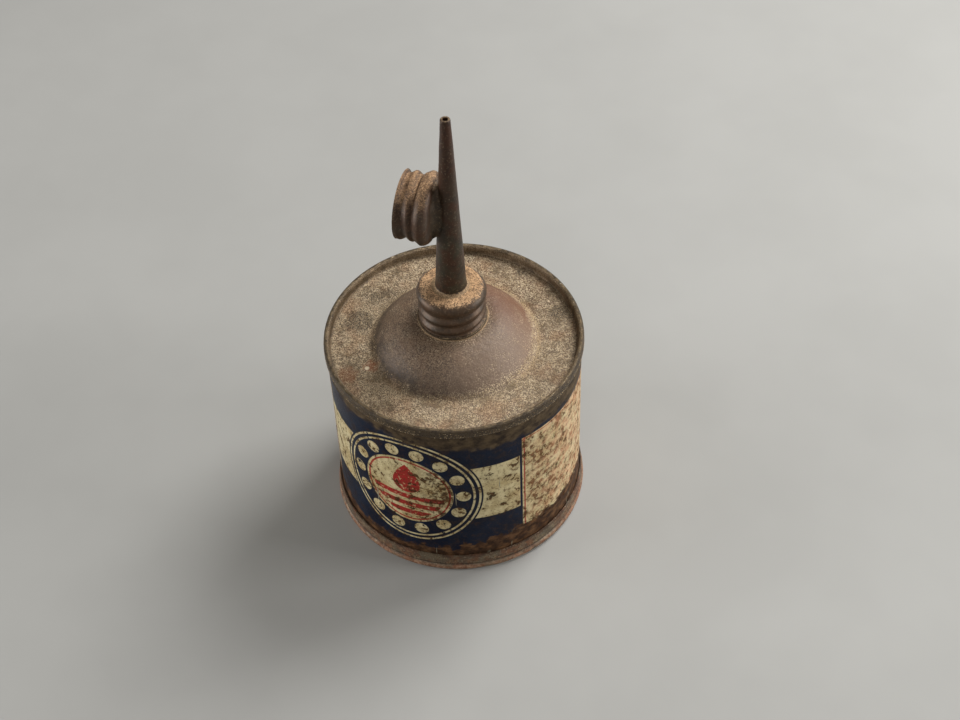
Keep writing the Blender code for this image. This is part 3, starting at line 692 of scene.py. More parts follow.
def dusty_tinplate(colours, sizes):
    """Pressed tinplate, gone brown, with dust baked into old oil: grainy and matte, bare metal on the rim."""
    material, tree, shader, point = new_material("dusty_tinplate")
    east, north, height = add(tree, "ShaderNodeSeparateXYZ", {0: point}).outputs
    flat = add(tree, "ShaderNodeCombineXYZ", {"X": east, "Y": north})
    radius = measure(tree, "LENGTH", flat)

    # Dust: coarse and fine grains, darker where it has soaked up oil
    grain = cloud(tree, point, 0.38, 0.40, 0.60, detail=2.0, roughness=0.75)
    coarse = cloud(tree, point, 1.3, 0.38, 0.64)
    dust = coat(tree, "#433526", colours.dust_light, grain)
    dust = coat(tree, dust, "#5A4833", coarse, 0.50)
    dust = coat(tree, dust, "#54452F", cloud(tree, point, 5.5, 0.50, 0.64, detail=6.0, roughness=0.65), 0.7)
    dust = coat(tree, dust, "#94623C", cloud(tree, point, 9.0, 0.50, 0.64, detail=4.0), 0.35)

    # Oily metal of the dome, with a painted highlight on its right flank and painted shade on its left
    dome = coat(tree, colours.dome_brown, "#493A30", cloud(tree, point, 5.0, 0.40, 0.62, detail=5.0))
    dome = coat(tree, dome, "#33261C", 0.30)
    dome = coat(tree, dome, "#9A8268", cloud(tree, point, 0.40, 0.42, 0.60, detail=2.0, roughness=0.75), 0.55)
    warm = measure(tree, "DOT_PRODUCT", point, Vector((0.55, 0.83, 0.0)))
    dome = coat(tree, dome, "#6A4430", ramp(tree, warm, 2.0 * MM, 16.0 * MM), 0.7)
    facing = measure(tree, "DOT_PRODUCT", point, Vector((0.86, -0.50, 0.0)))
    dome = coat(tree, dome, "#7E6A5A", ramp(tree, facing, 6.0 * MM, 20.0 * MM), 0.8)
    dome = coat(tree, dome, "#43301F", ramp(tree, facing, -6.0 * MM, -20.0 * MM), 0.5)

    # How far the dust covers the metal: the panel, thin patches on the dome and a collar round the cap
    drift = reckon(tree, cloud(tree, point, 5.0, 0.2, 0.8, detail=4.0), ("MULTIPLY_ADD", 1.6 * MM, radius))
    collar = ramp(tree, radius, sizes.cap_radius + 3.2 * MM, sizes.cap_radius - 0.4 * MM)
    cover = any_of(tree, ramp(tree, drift, sizes.dome_radius - 2.2 * MM, sizes.dome_radius + 2.0 * MM),
                   blend_value(tree, cloud(tree, point, 4.0, 0.34, 0.66), -0.1, 0.18),
                   all_of(tree, collar, 0.42))
    laid = ramp(tree, reckon(tree, grain, ("ADD", cover)), 0.76, 1.50)
    top = coat(tree, dome, dust, laid)

    # Painted shade round the dome's foot, on its left and front
    left_front = measure(tree, "DOT_PRODUCT", point, Vector((-0.80, -0.60, 0.0)))
    foot = band(tree, drift, sizes.dome_radius - 2.4 * MM, sizes.dome_radius + 1.0 * MM, 1.8 * MM)
    foot = all_of(tree, foot, ramp(tree, left_front, -4.0 * MM, 18.0 * MM),
                  cloud(tree, point, 3.0, 0.25, 0.55, detail=4.0))
    top = coat(tree, top, "#33281E", foot, 0.8)
    # A ring of pale dust grains beyond the dome's foot, brighter towards the back right as a painted
    # highlight
    ring = band(tree, radius, sizes.dome_radius + 0.1 * MM, sizes.dome_radius + 1.2 * MM, 0.7 * MM)
    lit = blend_value(tree, ramp(tree, warm, 0.0, 16.0 * MM), 0.25, 0.9)
    top = coat(tree, top, "#B89E78", ring, grain, lit, reckon(tree, 1.0, ("SUBTRACT", foot)))

    # Single stains, and a chip where bright metal shows
    for place, size, code in STAINS:
        apart = measure(tree, "DISTANCE", flat, Vector((*place, 0.0)))
        edge = reckon(tree, cloud(tree, point, 1.8, 0.2, 0.8, detail=5.0), ("MULTIPLY_ADD", 3.4 * MM, apart))
        stain = ramp(tree, edge, size + 2.8 * MM, size + 0.6 * MM)
        top = coat(tree, top, code, stain, blend_value(tree, grain, 0.85, 0.5))
    chip = ramp(tree, measure(tree, "DISTANCE", flat, Vector((*CHIP, 0.0))), 0.85 * MM, 0.55 * MM)
    top = coat(tree, top, "#E9D9BC", chip)

    rim, on_rim = top_rim(tree, sizes, point, radius, height, grain, coarse)
    top = coat(tree, top, rim, on_rim)
    gloss = blend_value(tree, laid, 0.54, 0.80)
    gloss = add(tree, "ShaderNodeMix", {"Factor": on_rim, "A": gloss, "B": 0.45})
    relief(tree, shader, reckon(tree, grain, ("MULTIPLY", laid), ("ADD", coarse)), 0.07 * MM)
    metal = all_of(tree, on_rim, 0.35)
    feed(tree, shader, Base_Color=top, Roughness=gloss, Metallic=metal, Specular_IOR_Level=0.35)
    return material


def rusted_tinplate(colours):
    """Bare tinplate of the bottom seam: olive-grey tin with brown rust, bright orange where the bead rubs
    with a painted highlight on it, and a painted shadow line where the bead meets the band.
    """
    material, tree, shader, point = new_material("rusted_tinplate")
    height = add(tree, "ShaderNodeSeparateXYZ", {0: point}).outputs["Z"]
    tin = coat(tree, "#5A4E3E", "#766954", cloud(tree, point, 4.0, 0.42, 0.62, detail=5.0))
    brown = coat(tree, "#4A2E1C", "#7A4D2F", cloud(tree, point, 1.4, 0.40, 0.62, detail=5.0))
    patch = cloud(tree, point, 4.5, 0.43, 0.57, detail=6.0, roughness=0.65)
    tin = coat(tree, tin, brown, patch, 0.85)
    # Painted shadow line in the crease between the band and the standing bead
    tin = coat(tree, tin, "#2C1F16", band(tree, height, 2.35 * MM, 2.75 * MM, 0.25 * MM), 0.8)
    # Bright orange rust on the standing bead, partly real rust and partly a painted highlight
    bright = coat(tree, colours.rust_bright, "#A88468", cloud(tree, point, 0.9, 0.42, 0.60))
    rubbed_and_highlit = cloud(tree, point, 2.6, 0.34, 0.54, detail=5.0)
    tin = coat(tree, tin, bright, ramp(tree, height, 2.5 * MM, 1.8 * MM), rubbed_and_highlit, 0.7)
    upper = ramp(tree, height, 5.0 * MM, 6.0 * MM)
    tin = coat(tree, tin, "#3E2819", upper, cloud(tree, point, 3.0, 0.35, 0.6), 0.8)
    tin = coat(tree, tin, "#B09C80", cloud(tree, point, 0.6, 0.58, 0.68), 0.45)
    relief(tree, shader, cloud(tree, point, 0.8, detail=5.0), 0.10 * MM)
    feed(tree, shader, Base_Color=tin, Roughness=blend_value(tree, patch, 0.52, 0.78),
         Metallic=blend_value(tree, patch, 0.35, 0.05))
    return material


def settling(tree, point):
    """Fine grain of settled dust, and how far each face looks up."""
    grain = cloud(tree, point, 0.45, 0.36, 0.64, roughness=0.75)
    normal = add(tree, "ShaderNodeNewGeometry").outputs["Normal"]
    return grain, add(tree, "ShaderNodeSeparateXYZ", {0: normal}).outputs["Z"]


def oiled_tinplate(name, brown_code, olive_code, dust_codes, dust_low, dust_high):
    """Tinplate under old oil: dark, softly shining, with dust stuck wherever it faces up."""
    material, tree, shader, point = new_material(name)
    height = add(tree, "ShaderNodeSeparateXYZ", {0: point}).outputs["Z"]
    oily = coat(tree, brown_code, olive_code, cloud(tree, point, 5.0, 0.40, 0.60, detail=5.0))
    oily = coat(tree, oily, "#3A1E0C", ramp(tree, height, 100.0 * MM, 138.0 * MM), 0.75)
    oily = coat(tree, oily, "#1E1712", cloud(tree, point, 2.2, 0.50, 0.68, detail=5.0), 0.6)
    oily = coat(tree, oily, "#7C6A54", cloud(tree, point, 0.6, 0.56, 0.70), 0.5)
    grain, facing = settling(tree, point)
    dust = coat(tree, dust_codes[0], dust_codes[1], grain)
    dust = coat(tree, dust, "#5A4430", cloud(tree, point, 2.4, 0.48, 0.64, detail=4.0), 0.6)
    settled = reckon(tree, cloud(tree, point, 2.6, 0.2, 0.8, detail=4.0), ("MULTIPLY_ADD", 0.30, facing))
    settled = ramp(tree, reckon(tree, grain, ("MULTIPLY_ADD", 0.30, settled)), dust_low, dust_high)
    bumps = reckon(tree, grain, ("MULTIPLY", settled), ("ADD", cloud(tree, point, 1.2, detail=4.0)))
    relief(tree, shader, bumps, 0.06 * MM)
    final = coat(tree, oily, dust, settled)
    feed(tree, shader, Base_Color=final, Roughness=blend_value(tree, settled, 0.48, 0.85),
         Metallic=blend_value(tree, settled, 0.40, 0.0))
    return material


def soft_solder(name, light_code, dark_code):
    """Tin-lead solder: satin, with lumps, stained by dried oil and dusty on top."""
    material, tree, shader, point = new_material(name)
    grey = coat(tree, light_code, dark_code, cloud(tree, point, 1.6, 0.40, 0.60, detail=4.0))
    grey = coat(tree, grey, "#34271C", cloud(tree, point, 2.4, 0.36, 0.58, detail=5.0), 0.8)
    grain, facing = settling(tree, point)
    settled = ramp(tree, reckon(tree, grain, ("MULTIPLY_ADD", 0.5, facing)), 0.45, 0.95)
    grey = coat(tree, grey, coat(tree, "#6A5238", "#B2946E", grain), settled, 0.85)
    relief(tree, shader, cloud(tree, point, 0.9, detail=4.0), 0.08 * MM)
    feed(tree, shader, Base_Color=grey, Roughness=blend_value(tree, settled, 0.45, 0.8),
         Metallic=blend_value(tree, settled, 0.55, 0.05))
    return material


def oil_soaked_cork():
    """Agglomerated cork soaked in oil: dark granules in a paler binder, quite matte."""
    material, tree, shader, point = new_material("oil_soaked_cork")
    cells = add(tree, "ShaderNodeTexVoronoi", {"Vector": point, "Scale": 1.0 / (0.9 * MM)})
    depth = cells.outputs["Distance"]
    tone = coat(tree, "#6A4628", "#9B7046", depth)
    tone = coat(tree, tone, "#35200F", cloud(tree, point, 2.0, 0.50, 0.64))
    relief(tree, shader, depth, 0.12 * MM)
    feed(tree, shader, Base_Color=tone, Roughness=0.88)
    return material


def matte(name, under, over, size, low, high, roughness, detail=3.0, flecks=None, bumps=None):
    """A matte finish of two colours in patches, with a third in fine flecks and fine bumps if given."""
    material, tree, shader, point = new_material(name)
    tone = coat(tree, under, over, cloud(tree, point, size, low, high, detail=detail))
    if flecks:
        code, *spread = flecks
        tone = coat(tree, tone, code, cloud(tree, point, *spread))
    if bumps:
        relief(tree, shader, cloud(tree, point, bumps), 0.05 * MM)
    feed(tree, shader, Base_Color=tone, Roughness=roughness)
    return material


# Pieces

def chuck_radius(sizes):
    """Outside of the wall that the ends press against the body from inside."""
    return sizes.body_radius - sizes.body_sheet - sizes.seam_gap - sizes.end_sheet


def seam_radius(sizes):
    """Outside of the end seams."""
    return sizes.body_radius + sizes.seam_gap + sizes.end_sheet


def seam_strip(sizes, low, high):
    """The lap down the body's back: a low, uneven swelling that follows the wall."""
    half_width = (high.x - low.x) / 2.0
    rings = []
    for _, height in line((0.0, low.z), (0.0, high.z), 1.0 * MM):
        uneven = 1.0 + 0.16 * noise.noise(Vector((0.0, 0.0, height / (4.0 * MM))))
        ring = []
        for step in range(SEAM_STEPS + 1):
            share = 2.0 * step / SEAM_STEPS - 1.0
            swell = SEAM_EDGE + SEAM_SWELL * math.sqrt(1.0 - share * share)
            ring.append((share * half_width * uneven, sizes.body_radius + swell))
        ring += [(across, sizes.body_radius - SEAM_SUNK) for across, _ in reversed(ring)]
        places = ((math.pi / 2.0 - across / sizes.body_radius, radius) for across, radius in ring)
        rings.append([(radius * math.cos(turn), radius * math.sin(turn), height) for turn, radius in places])
    return lofted(rings)


class OILER_OT_body(bpy.types.Operator):
    """Body wall with its printed label and the lapped seam down its back."""

    bl_idname = "oiler.body"
    bl_label = "Body"

    def execute(self, context):
        """Build the wall and the seam."""
        sizes, colours = context.scene.oiler_sizes, context.scene.oiler_colours
        inner = sizes.body_radius - sizes.body_sheet
        wall = line((sizes.body_radius, BODY_LOW.z), (sizes.body_radius, BODY_HIGH.z), 1.0 * MM)
        wall += line((inner, BODY_HIGH.z), (inner, BODY_LOW.z), 2.0 * MM)
        shape = spun(wall, sizes.segments)
        knocked(shape, outward, 14.0 * MM, 0.15 * MM, 3.0)
        seat(piece("can_body", shape, litho_enamel(colours, sizes)), "root", "litho_tinplate", "body_shell")

        lacquered = soft_solder("lacquered_solder", "#2A3040", "#4A4540")
        strip = seam_strip(sizes, *BOX["side_seam_solder"])
        seat(piece("side_seam", strip, lacquered), "root", "side_seam_solder", "side_seam_solder")
        return {"FINISHED"}


class OILER_OT_top(bpy.types.Operator):
    """Top end: seamed rim, recessed panel and dome."""

    bl_idname = "oiler.top"
    bl_label = "Top end"

    def execute(self, context):
        """Build the pressed top."""
        sizes, colours = context.scene.oiler_sizes, context.scene.oiler_colours
        outer, chuck = seam_radius(sizes), chuck_radius(sizes)
        crown = (outer - chuck) / 2.0
        panel = sizes.can_height - sizes.panel_recess
        path = [(outer - 0.14 * MM, sizes.can_height - sizes.rim_depth), (outer, sizes.can_height - 2.3 * MM)]
        path += arc((outer - crown, sizes.can_height - crown), crown, 0.0, 180.0, 16)
        path += arc((chuck - FOLD_CORNER, panel + FOLD_CORNER), FOLD_CORNER, 0.0, -90.0, 8)
        path += line(path[-1], (sizes.dome_radius + 0.6 * MM, panel), 0.9 * MM)[1:]
        for step in range(1, DOME_STEPS + 1):
            out = 1.0 - step / DOME_STEPS
            radius = sizes.dome_shoulder + (sizes.dome_radius - sizes.dome_shoulder) * out
            path.append((radius, panel + (TOP_HIGH.z - panel) * (1.0 - out ** 2)))
        path.append((sizes.neck_root - sizes.end_sheet, TOP_HIGH.z))
        shape = spun(sheet(path, sizes.end_sheet), sizes.segments)
        knocked(shape, upward, 9.0 * MM, 0.22 * MM, 7.0)
        knocked(shape, upward, 3.5 * MM, 0.05 * MM, 9.0)
        top = piece("top_end_fine", shape, dusty_tinplate(colours, sizes))
        seat(top, "root", "bare_tinplate", "top_end")
        return {"FINISHED"}


class OILER_OT_bottom(bpy.types.Operator):
    """Bottom end: outer band, standing bead, and the disc that springs under the thumb."""

    bl_idname = "oiler.bottom"
    bl_label = "Bottom end"

    def execute(self, context):
        """Build the bottom's ring and disc."""
        sizes, colours = context.scene.oiler_sizes, context.scene.oiler_colours
        rusted = rusted_tinplate(colours)
        outer, chuck = seam_radius(sizes), chuck_radius(sizes)
        chamfer = 0.35 * MM
        bead = (outer + 0.65 * MM - sizes.bead_radius, sizes.bead_radius)
        waist = math.degrees(math.acos((outer - bead[0]) / sizes.bead_radius))
        lip_edge = chuck - sizes.lip_width
        path = line((lip_edge, sizes.lip_height), (chuck - FOLD_CORNER, sizes.lip_height), 0.5 * MM)
        path += arc((chuck - FOLD_CORNER, sizes.lip_height - FOLD_CORNER), FOLD_CORNER, 90.0, 0.0, 8)[1:]
        path += [(chuck, chamfer), (chuck + chamfer, 0.0)]
        path += arc(bead, sizes.bead_radius, -90.0, waist, 18)
        path += line(path[-1], (outer, sizes.band_top), 0.5 * MM)[1:]
        shape = spun(sheet(path, sizes.end_sheet), sizes.segments)
        knocked(shape, outward, 5.0 * MM, 0.16 * MM, 5.0)
        seat(piece("bottom_ring", shape, rusted), "root", "bare_tinplate", "bottom_end")

        edge = lip_edge - 0.02 * MM
        rib_start = edge - RIB_INSET - RIB_WIDTH / 2.0
        path = []
        for radius, _ in line((0.0, 0.0), (edge, 0.0), 0.7 * MM):
            dish = sizes.disc_bulge * (1.0 - (radius / edge) ** 2)
            share = min(1.0, max(0.0, (radius - rib_start) / RIB_WIDTH))
            rib = RIB_HEIGHT * 0.5 * (1.0 - math.cos(FULL_TURN * share))
            path.append((radius, sizes.lip_height + rib - dish))
        disc = piece("spring_bottom", spun(sheet(path, sizes.end_sheet), sizes.segments), rusted)
        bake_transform(disc)
        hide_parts("bottom_disc")
        return {"FINISHED"}


def rows(radius, low, high):
    """A wall close enough in points to carry a rolled thread."""
    return line((radius, low), (radius, high), THREAD_ROWS)


def roll_thread(thing, sizes, material, crest, low, high, inward):
    """Roll the thread into a wall between two heights, with a crest at a third."""
    grow(thing, bpy.data.node_groups["rolled_thread"], material,
         {"Pitch": sizes.thread_pitch, "Depth": sizes.thread_depth, "Crest Height": crest,
          "Crest Angle": CREST_ANGLE, "Low": low, "High": high, "Fade": THREAD_FADE, "Inward": inward})


def screw_cap(name, height, swell, hole, material, matrix):
    """A cap with a rolled thread, mouth down at 0, its closed face pierced if hole isn't 0."""
    sizes = bpy.context.scene.oiler_sizes
    trim = CAP_HIGH.z - CAP_LOW.z - height
    thread_top, corner = CAP_THREAD - trim, sizes.cap_corner
    path = rows(sizes.cap_radius, 0.0, thread_top)
    path += arc((sizes.cap_radius + swell - corner, height - corner), corner, 0.0, 90.0, 14)
    path += line(path[-1], (hole, height), 0.6 * MM)[1:]
    cap = piece(name, spun(sheet(path, sizes.end_sheet), CAP_FACETS), material)
    roll_thread(cap, sizes, material, CREST_RISE - trim, 0.0, thread_top, 1.0)
    cap.data.transform(matrix)
    return cap


class OILER_OT_neck(bpy.types.Operator):
    """Threaded neck with its flange."""

    bl_idname = "oiler.neck"
    bl_label = "Neck"

    def execute(self, context):
        """Build the neck."""
        sizes = context.scene.oiler_sizes
        flange_top, lip = NECK_LOW.z + sizes.end_sheet, NECK_HIGH.z
        chamfer = 0.5 * MM
        path = line((NECK_HIGH.x, flange_top), (sizes.neck_root, flange_top), 0.5 * MM)
        path += rows(sizes.neck_root, flange_top, lip - chamfer)[1:]
        path += [(sizes.neck_root - chamfer, lip), (sizes.neck_root - sizes.end_sheet - 2.0 * chamfer, lip)]
        metal = oiled_tinplate("oiled_tinplate_neck", "#4A3B2E", "#453D30",
                               ("#6E5840", "#A98F6C"), 1.10, 1.55)
        neck = piece("neck_fine", spun(sheet(path, sizes.end_sheet), CAP_FACETS), metal)
        roll_thread(neck, sizes, metal, CAP_LOW.z + CREST_RISE, flange_top + 1.1 * MM, lip - 1.0 * MM, 0.0)
        seat(neck, "root", "dark_tinplate", "neck")
        return {"FINISHED"}


def solder_fillet(name, inner, outer, low, high, material, matrix=None):
    """A hollow-faced, uneven fillet of solder round a tube that stands on a sheet."""
    section = [(inner, low), (outer, low)]
    for step in range(1, FILLET_STEPS):
        turn = math.pi / 2.0 * step / FILLET_STEPS
        section.append((outer - (outer - inner) * math.sin(turn), high - (high - low) * math.cos(turn)))
    section.append((inner, high))
    shape = spun(section, FILLET_FACETS)
    offset = Vector((17.0, 0.0, 0.0))
    for vert in shape.verts:
        share = (math.hypot(vert.co.x, vert.co.y) - inner) / (outer - inner)
        lump = FILLET_LUMP * (0.5 + 0.5 * noise.noise(outward(vert.co) * 2.6 + offset))
        vert.co -= outward(vert.co) * (share * lump * (outer - inner))
        if vert.co.z > low + WELD:
            vert.co.z -= (vert.co.z - low) * lump
    return piece(name, shape, material, matrix)


def solder_web(name, side, sizes, material, matrix):
    """Hollow-faced solder that fills the corner between the storage cap's closed face and the round spout."""
    face = -(spout_radius(sizes, STORAGE_RISE - STORAGE_HOLD) + sizes.seam_gap + 0.15 * MM)
    low, high = (0.0, STORAGE_RISE - WEB_HALF_HEIGHT), (0.0, STORAGE_RISE + WEB_HALF_HEIGHT)
    rings = []
    for _, height in line(low, high, 0.5 * MM):
        share = (height - STORAGE_RISE) / WEB_HALF_HEIGHT
        full = math.sqrt(max(0.0, 1.0 - share * share)) * 0.9 + 0.1
        full *= 0.95 + 0.10 * noise.noise(Vector((side, 0.0, height / (2.5 * MM))))
        tube = spout_radius(sizes, height) - 0.1 * MM
        turn = WEB_WRAP * full
        outer = Vector((face, side * WEB_HALF_WIDTH * full))
        touch = Vector((-tube * math.cos(turn), side * tube * math.sin(turn)))
        corner = Vector((face + 0.5 * MM, side * tube * math.sin(turn) * 0.85))
        ring = [Vector((face, 0.0))]
        for step in range(WEB_STEPS + 1):
            part = step / WEB_STEPS
            ring.append(outer * (1.0 - part) ** 2 + corner * (2.0 * part * (1.0 - part)) + touch * part ** 2)
        ring.append(Vector((-tube, 0.0)))
        rings.append([(point.x, point.y, height) for point in ring])
    return piece(name, lofted(rings), material, matrix)


def straight_path(name, start, end):
    """An object that holds one edge, from start to end."""
    shape = bmesh.new()
    shape.edges.new((shape.verts.new(start), shape.verts.new(end)))
    return placed(name, mesh_of(name, shape))


def lean_matrix():
    """Place and lean of the spout: its foot at the cap's top, slightly askew."""
    axis = Vector((-math.sin(LEAN_SIDE), math.cos(LEAN_SIDE), 0.0))
    return Matrix.Translation((0.0, 0.0, CAP_HIGH.z)) @ Matrix.Rotation(SPOUT_LEAN, 4, axis)


def spout_radius(sizes, height):
    """Outside of the spout, height counted from the spout cap's top."""
    return sizes.spout_foot + (sizes.spout_tip - sizes.spout_foot) * height / sizes.spout_length


class OILER_OT_spout(bpy.types.Operator):
    """Spout cap and the tapered spout with its rolled tip."""

    bl_idname = "oiler.spout"
    bl_label = "Spout"

    def execute(self, context):
        """Build the cap and the tube."""
        sizes = context.scene.oiler_sizes
        metal = oiled_tinplate("oiled_tinplate_cap", "#513B28", "#403224", ("#80603E", "#DDB386"), 1.04, 1.32)
        cap = screw_cap("spout_cap_fine", CAP_HIGH.z - CAP_LOW.z, 0.3 * MM, sizes.spout_foot + sizes.seam_gap,
                        metal, Matrix.Translation((0.0, 0.0, CAP_LOW.z)))
        seat(cap, "spout", "dark_tinplate", "spout_cap")

        foot, tip, length, wall = sizes.spout_foot, sizes.spout_tip, sizes.spout_length, sizes.spout_sheet
        lip = 0.35 * MM
        section = [(foot, -sizes.end_sheet)]
        section += line((foot, 0.0), (spout_radius(sizes, length - lip), length - lip), 0.6 * MM)
        section += arc((tip - lip, length - lip), lip, 20.0, 90.0, 5)
        section += [(0.82 * MM, length - 0.05 * MM), (0.70 * MM, length - 0.35 * MM)]
        section += [(tip - wall, length - 2.0 * MM)]
        section += [(spout_radius(sizes, length / 2.0) - wall, length / 2.0), (foot - wall, -sizes.end_sheet)]
        shape = spun(section, SPOUT_FACETS)
        knocked(shape, outward, 6.0 * MM, 0.12 * MM, 11.0)
        metal = oiled_tinplate("oiled_tinplate_spout", "#402513", "#353022",
                               ("#6A563C", "#A38A66"), 0.95, 1.6)
        seat(piece("spout_tube_fine", shape, metal, lean_matrix()), "spout", "dark_tinplate", "spout_tube")
        return {"FINISHED"}


class OILER_OT_storage_cap(bpy.types.Operator):
    """Closing cap carried on the spout's side, mouth outwards."""

    bl_idname = "oiler.storage_cap"
    bl_label = "Storage cap"

    def execute(self, context):
        """Build the cap and set it on the spout."""
        sizes = context.scene.oiler_sizes
        reach = spout_radius(sizes, STORAGE_RISE - STORAGE_HOLD) + sizes.seam_gap + sizes.storage_height
        out = Vector((-math.cos(STORAGE_TILT), 0.0, math.sin(STORAGE_TILT)))
        place = Matrix.Translation(Vector((0.0, 0.0, STORAGE_RISE)) + out * reach)
        matrix = lean_matrix() @ place @ Matrix.Rotation(math.pi / 2.0 + STORAGE_TILT, 4, "Y")
        metal = oiled_tinplate("oiled_tinplate_storage", "#472F1C", "#43372B",
                               ("#6E4C30", "#BD9870"), 0.70, 1.35)
        cap = screw_cap("storage_cap_fine", sizes.storage_height, 0.7 * MM, 0.0, metal,
                        matrix @ Matrix.Rotation(STORAGE_TURN, 4, "Z"))
        seat(cap, "spout", "dark_tinplate", "storage_cap")
        return {"FINISHED"}


class OILER_OT_solder(bpy.types.Operator):
    """Solder around the neck and the spout's foot, down the spout and beside the storage cap."""

    bl_idname = "oiler.solder"
    bl_label = "Solder"

    def execute(self, context):
        """Lay every solder run."""
        sizes = context.scene.oiler_sizes
        metal = soft_solder("soft_solder", "#5E5448", "#40372D")
        lean = lean_matrix()
        neck = solder_fillet("neck_solder_fillet", NECK_HIGH.x - 0.3 * MM, NECK_HIGH.x + 1.3 * MM,
                             TOP_HIGH.z - 0.25 * MM, NECK_LOW.z + sizes.end_sheet, metal)
        seat(neck, "root", "soft_solder", "neck_solder")
        foot = solder_fillet("spout_foot_fillet", sizes.spout_foot - 0.05 * MM, sizes.spout_foot + 1.5 * MM,
                             0.0, 1.2 * MM, metal, lean)
        seat(foot, "spout", "soft_solder", "spout_foot_solder")

        start, end = 1.3 * MM, sizes.spout_length - 0.8 * MM
        seam = straight_path("spout_seam_bead", (0.0, spout_radius(sizes, start), start),
                             (0.0, spout_radius(sizes, end), end))
        seam.data.transform(lean)
        grow(seam, bpy.data.node_groups["solder_run"], metal,
             {"Step": 0.35 * MM, "Unevenness": 0.9, "Wave": 2.5 * MM, "Radius": 0.38 * MM})
        seat(seam, "spout", "soft_solder", "spout_seam_solder")

        joint = oiled_tinplate("oiled_solder", "#453725", "#3A3223", ("#5E4A33", "#9A7F5E"), 0.95, 1.55)
        for node, side in (("storage_cap_solder_front", -1.0), ("storage_cap_solder_back", 1.0)):
            seat(solder_web(node + "_web", side, sizes, joint, lean), "spout", "soft_solder", node)
        return {"FINISHED"}


class OILER_OT_grit(bpy.types.Operator):
    """Grains of caked dust on the top, and scale on the bottom seam."""

    bl_idname = "oiler.grit"
    bl_label = "Grit and scale"

    def execute(self, context):
        """Scatter the grains over copies of the pressed ends."""
        colours = context.scene.oiler_colours
        caked = matte("caked_dust", "#8A7150", "#CBB48F", 0.9, 0.40, 0.60, 0.92,
                      flecks=("#5C4529", 0.6, 0.54, 0.62))
        crust = matte("rust_crust", colours.rust, colours.dust, 1.5, 0.40, 0.60, 0.92,
                      flecks=("#2B1C12", 0.5, 0.50, 0.62))
        layers = (("top_grit", "top_end_fine", caked,
                   {"Density": 4.2e6, "Size": 0.17 * MM, "Flatness": 0.7, "Patch": 6.0 * MM, "Sparse": 0.42,
                    "Low": 61.2 * MM, "High": 63.0 * MM}),
                  ("bottom_scale", "bottom_ring", crust,
                   {"Density": 3.0e6, "Size": 0.22 * MM, "Flatness": 0.35, "Patch": 4.0 * MM, "Sparse": 0.52,
                    "Low": 2.4 * MM, "High": 6.3 * MM}))
        for name, under, material, sizes in layers:
            grains = placed(name, bpy.data.objects[under].data.copy())
            grow(grains, bpy.data.node_groups["grit"], material, sizes)
            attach(grains, "root")
        return {"FINISHED"}


class OILER_OT_inside(bpy.types.Operator):
    """Finishes of the gasket, the liner and the seam compound."""

    bl_idname = "oiler.inside"
    bl_label = "Gaskets and seam compound"

    def execute(self, context):
        """Paint the pieces that stay as the model has them."""
        cork = oil_soaked_cork()
        rubber = matte("seam_rubber", "#2B221A", "#4A3B2B", 1.1, 0.40, 0.62, 0.82, detail=4.0, bumps=0.7)
        finishes = {"spout_gasket": cork, "storage_cap_liner": cork,
                    "top_seam_sealant": rubber, "bottom_seam_sealant": rubber}
        for node, material in finishes.items():
            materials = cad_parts[node].data.materials
            materials.clear()
            materials.append(material)
        return {"FINISHED"}


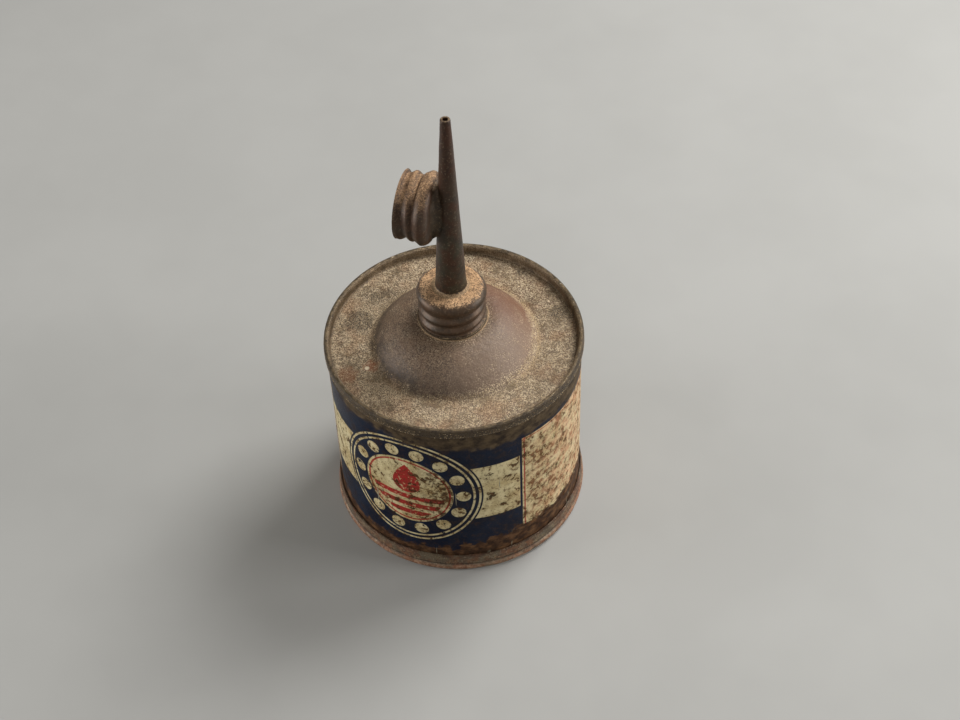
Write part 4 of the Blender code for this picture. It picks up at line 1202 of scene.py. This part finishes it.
class OILER_OT_stage(bpy.types.Operator):
    """Paper floor, soft lights and the camera."""

    bl_idname = "oiler.stage"
    bl_label = "Stage"

    def execute(self, context):
        """Build the stage around the object."""
        scene, colours = context.scene, context.scene.oiler_colours
        mesh = bpy.data.meshes.new("studio_floor")
        corners = [(-FLOOR_HALF, -FLOOR_HALF, 0.0), (FLOOR_HALF, -FLOOR_HALF, 0.0),
                   (FLOOR_HALF, FLOOR_HALF, 0.0), (-FLOOR_HALF, FLOOR_HALF, 0.0)]
        mesh.from_pydata(corners, [], [(0, 1, 2, 3)])
        mesh.materials.append(matte("studio_paper", colours.floor, "#A09F9B", 60.0, 0.40, 0.62, 0.9))
        placed("studio_floor", mesh)

        world = bpy.data.worlds.new("studio_air")
        world.use_nodes = True
        air = world.node_tree.nodes["Background"]
        feed(world.node_tree, air, Color=rgba("#B8B6B2"), Strength=AIR_STRENGTH)
        scene.world = world
        scene.view_settings.view_transform = "Standard"

        right = Vector((math.cos(VIEW_SIDE), math.sin(VIEW_SIDE), 0.0))
        away = Vector((-math.sin(VIEW_SIDE), math.cos(VIEW_SIDE), 0.0))
        up = Vector((0.0, 0.0, 1.0))
        aim = Vector((0.0, 0.0, 0.5 * CAD_BOUNDS[1].z))
        for name, (sideways, backwards, upwards), width, power in LIGHTS:
            data = bpy.data.lights.new(name, "AREA")
            data.size = width
            data.energy = power
            lamp = placed(name, data)
            lamp.location = right * sideways + away * backwards + up * upwards
            lamp.rotation_euler = (lamp.location - aim).to_track_quat("Z", "Y").to_euler()

        data = bpy.data.cameras.new("view")
        data.lens = VIEW_LENS
        data.clip_start = 0.01
        camera = placed("view", data)
        back = -away * math.cos(VIEW_RISE) + up * math.sin(VIEW_RISE)
        high = back.cross(right)
        side = right * math.cos(VIEW_ROLL) + high * math.sin(VIEW_ROLL)
        top = high * math.cos(VIEW_ROLL) - right * math.sin(VIEW_ROLL)
        turn = Matrix((side, top, back)).transposed().to_4x4()
        camera.matrix_world = Matrix.Translation(VIEW_TARGET + back * VIEW_DISTANCE) @ turn
        scene.camera = camera
        return {"FINISHED"}


class OILER_PT_panel(bpy.types.Panel):
    """Sizes, colours and the build steps."""

    bl_idname = "OILER_PT_panel"
    bl_label = "Hand oiler"
    bl_space_type = "VIEW_3D"
    bl_region_type = "UI"
    bl_category = "Oiler"

    def draw(self, context):
        """List the sizes, the colours and the operators."""
        for group in (context.scene.oiler_sizes, context.scene.oiler_colours):
            for name in group.__annotations__:
                self.layout.prop(group, name)
        for step in STEPS:
            self.layout.operator(step.bl_idname)


STEPS = (OILER_OT_body, OILER_OT_top, OILER_OT_bottom, OILER_OT_neck, OILER_OT_spout,
         OILER_OT_storage_cap, OILER_OT_solder, OILER_OT_grit, OILER_OT_inside, OILER_OT_stage)
CLASSES = (OilerSizes, OilerColours, *STEPS, OILER_PT_panel)


def register():
    """Register the classes and hang their settings on the scene."""
    for item in CLASSES:
        bpy.utils.register_class(item)
    bpy.types.Scene.oiler_sizes = PointerProperty(type=OilerSizes)
    bpy.types.Scene.oiler_colours = PointerProperty(type=OilerColours)


def unregister():
    """Take the settings and the classes away again."""
    del bpy.types.Scene.oiler_colours
    del bpy.types.Scene.oiler_sizes
    for item in reversed(CLASSES):
        bpy.utils.unregister_class(item)


def main():
    """Build every piece and the stage."""
    register()
    rolled_thread_tree()
    solder_run_tree()
    grit_tree()
    bpy.ops.oiler.body()
    bpy.ops.oiler.top()
    bpy.ops.oiler.bottom()
    bpy.ops.oiler.neck()
    bpy.ops.oiler.spout()
    bpy.ops.oiler.storage_cap()
    bpy.ops.oiler.solder()
    bpy.ops.oiler.grit()
    bpy.ops.oiler.inside()
    bpy.ops.oiler.stage()


if __name__ == "__main__":
    main()
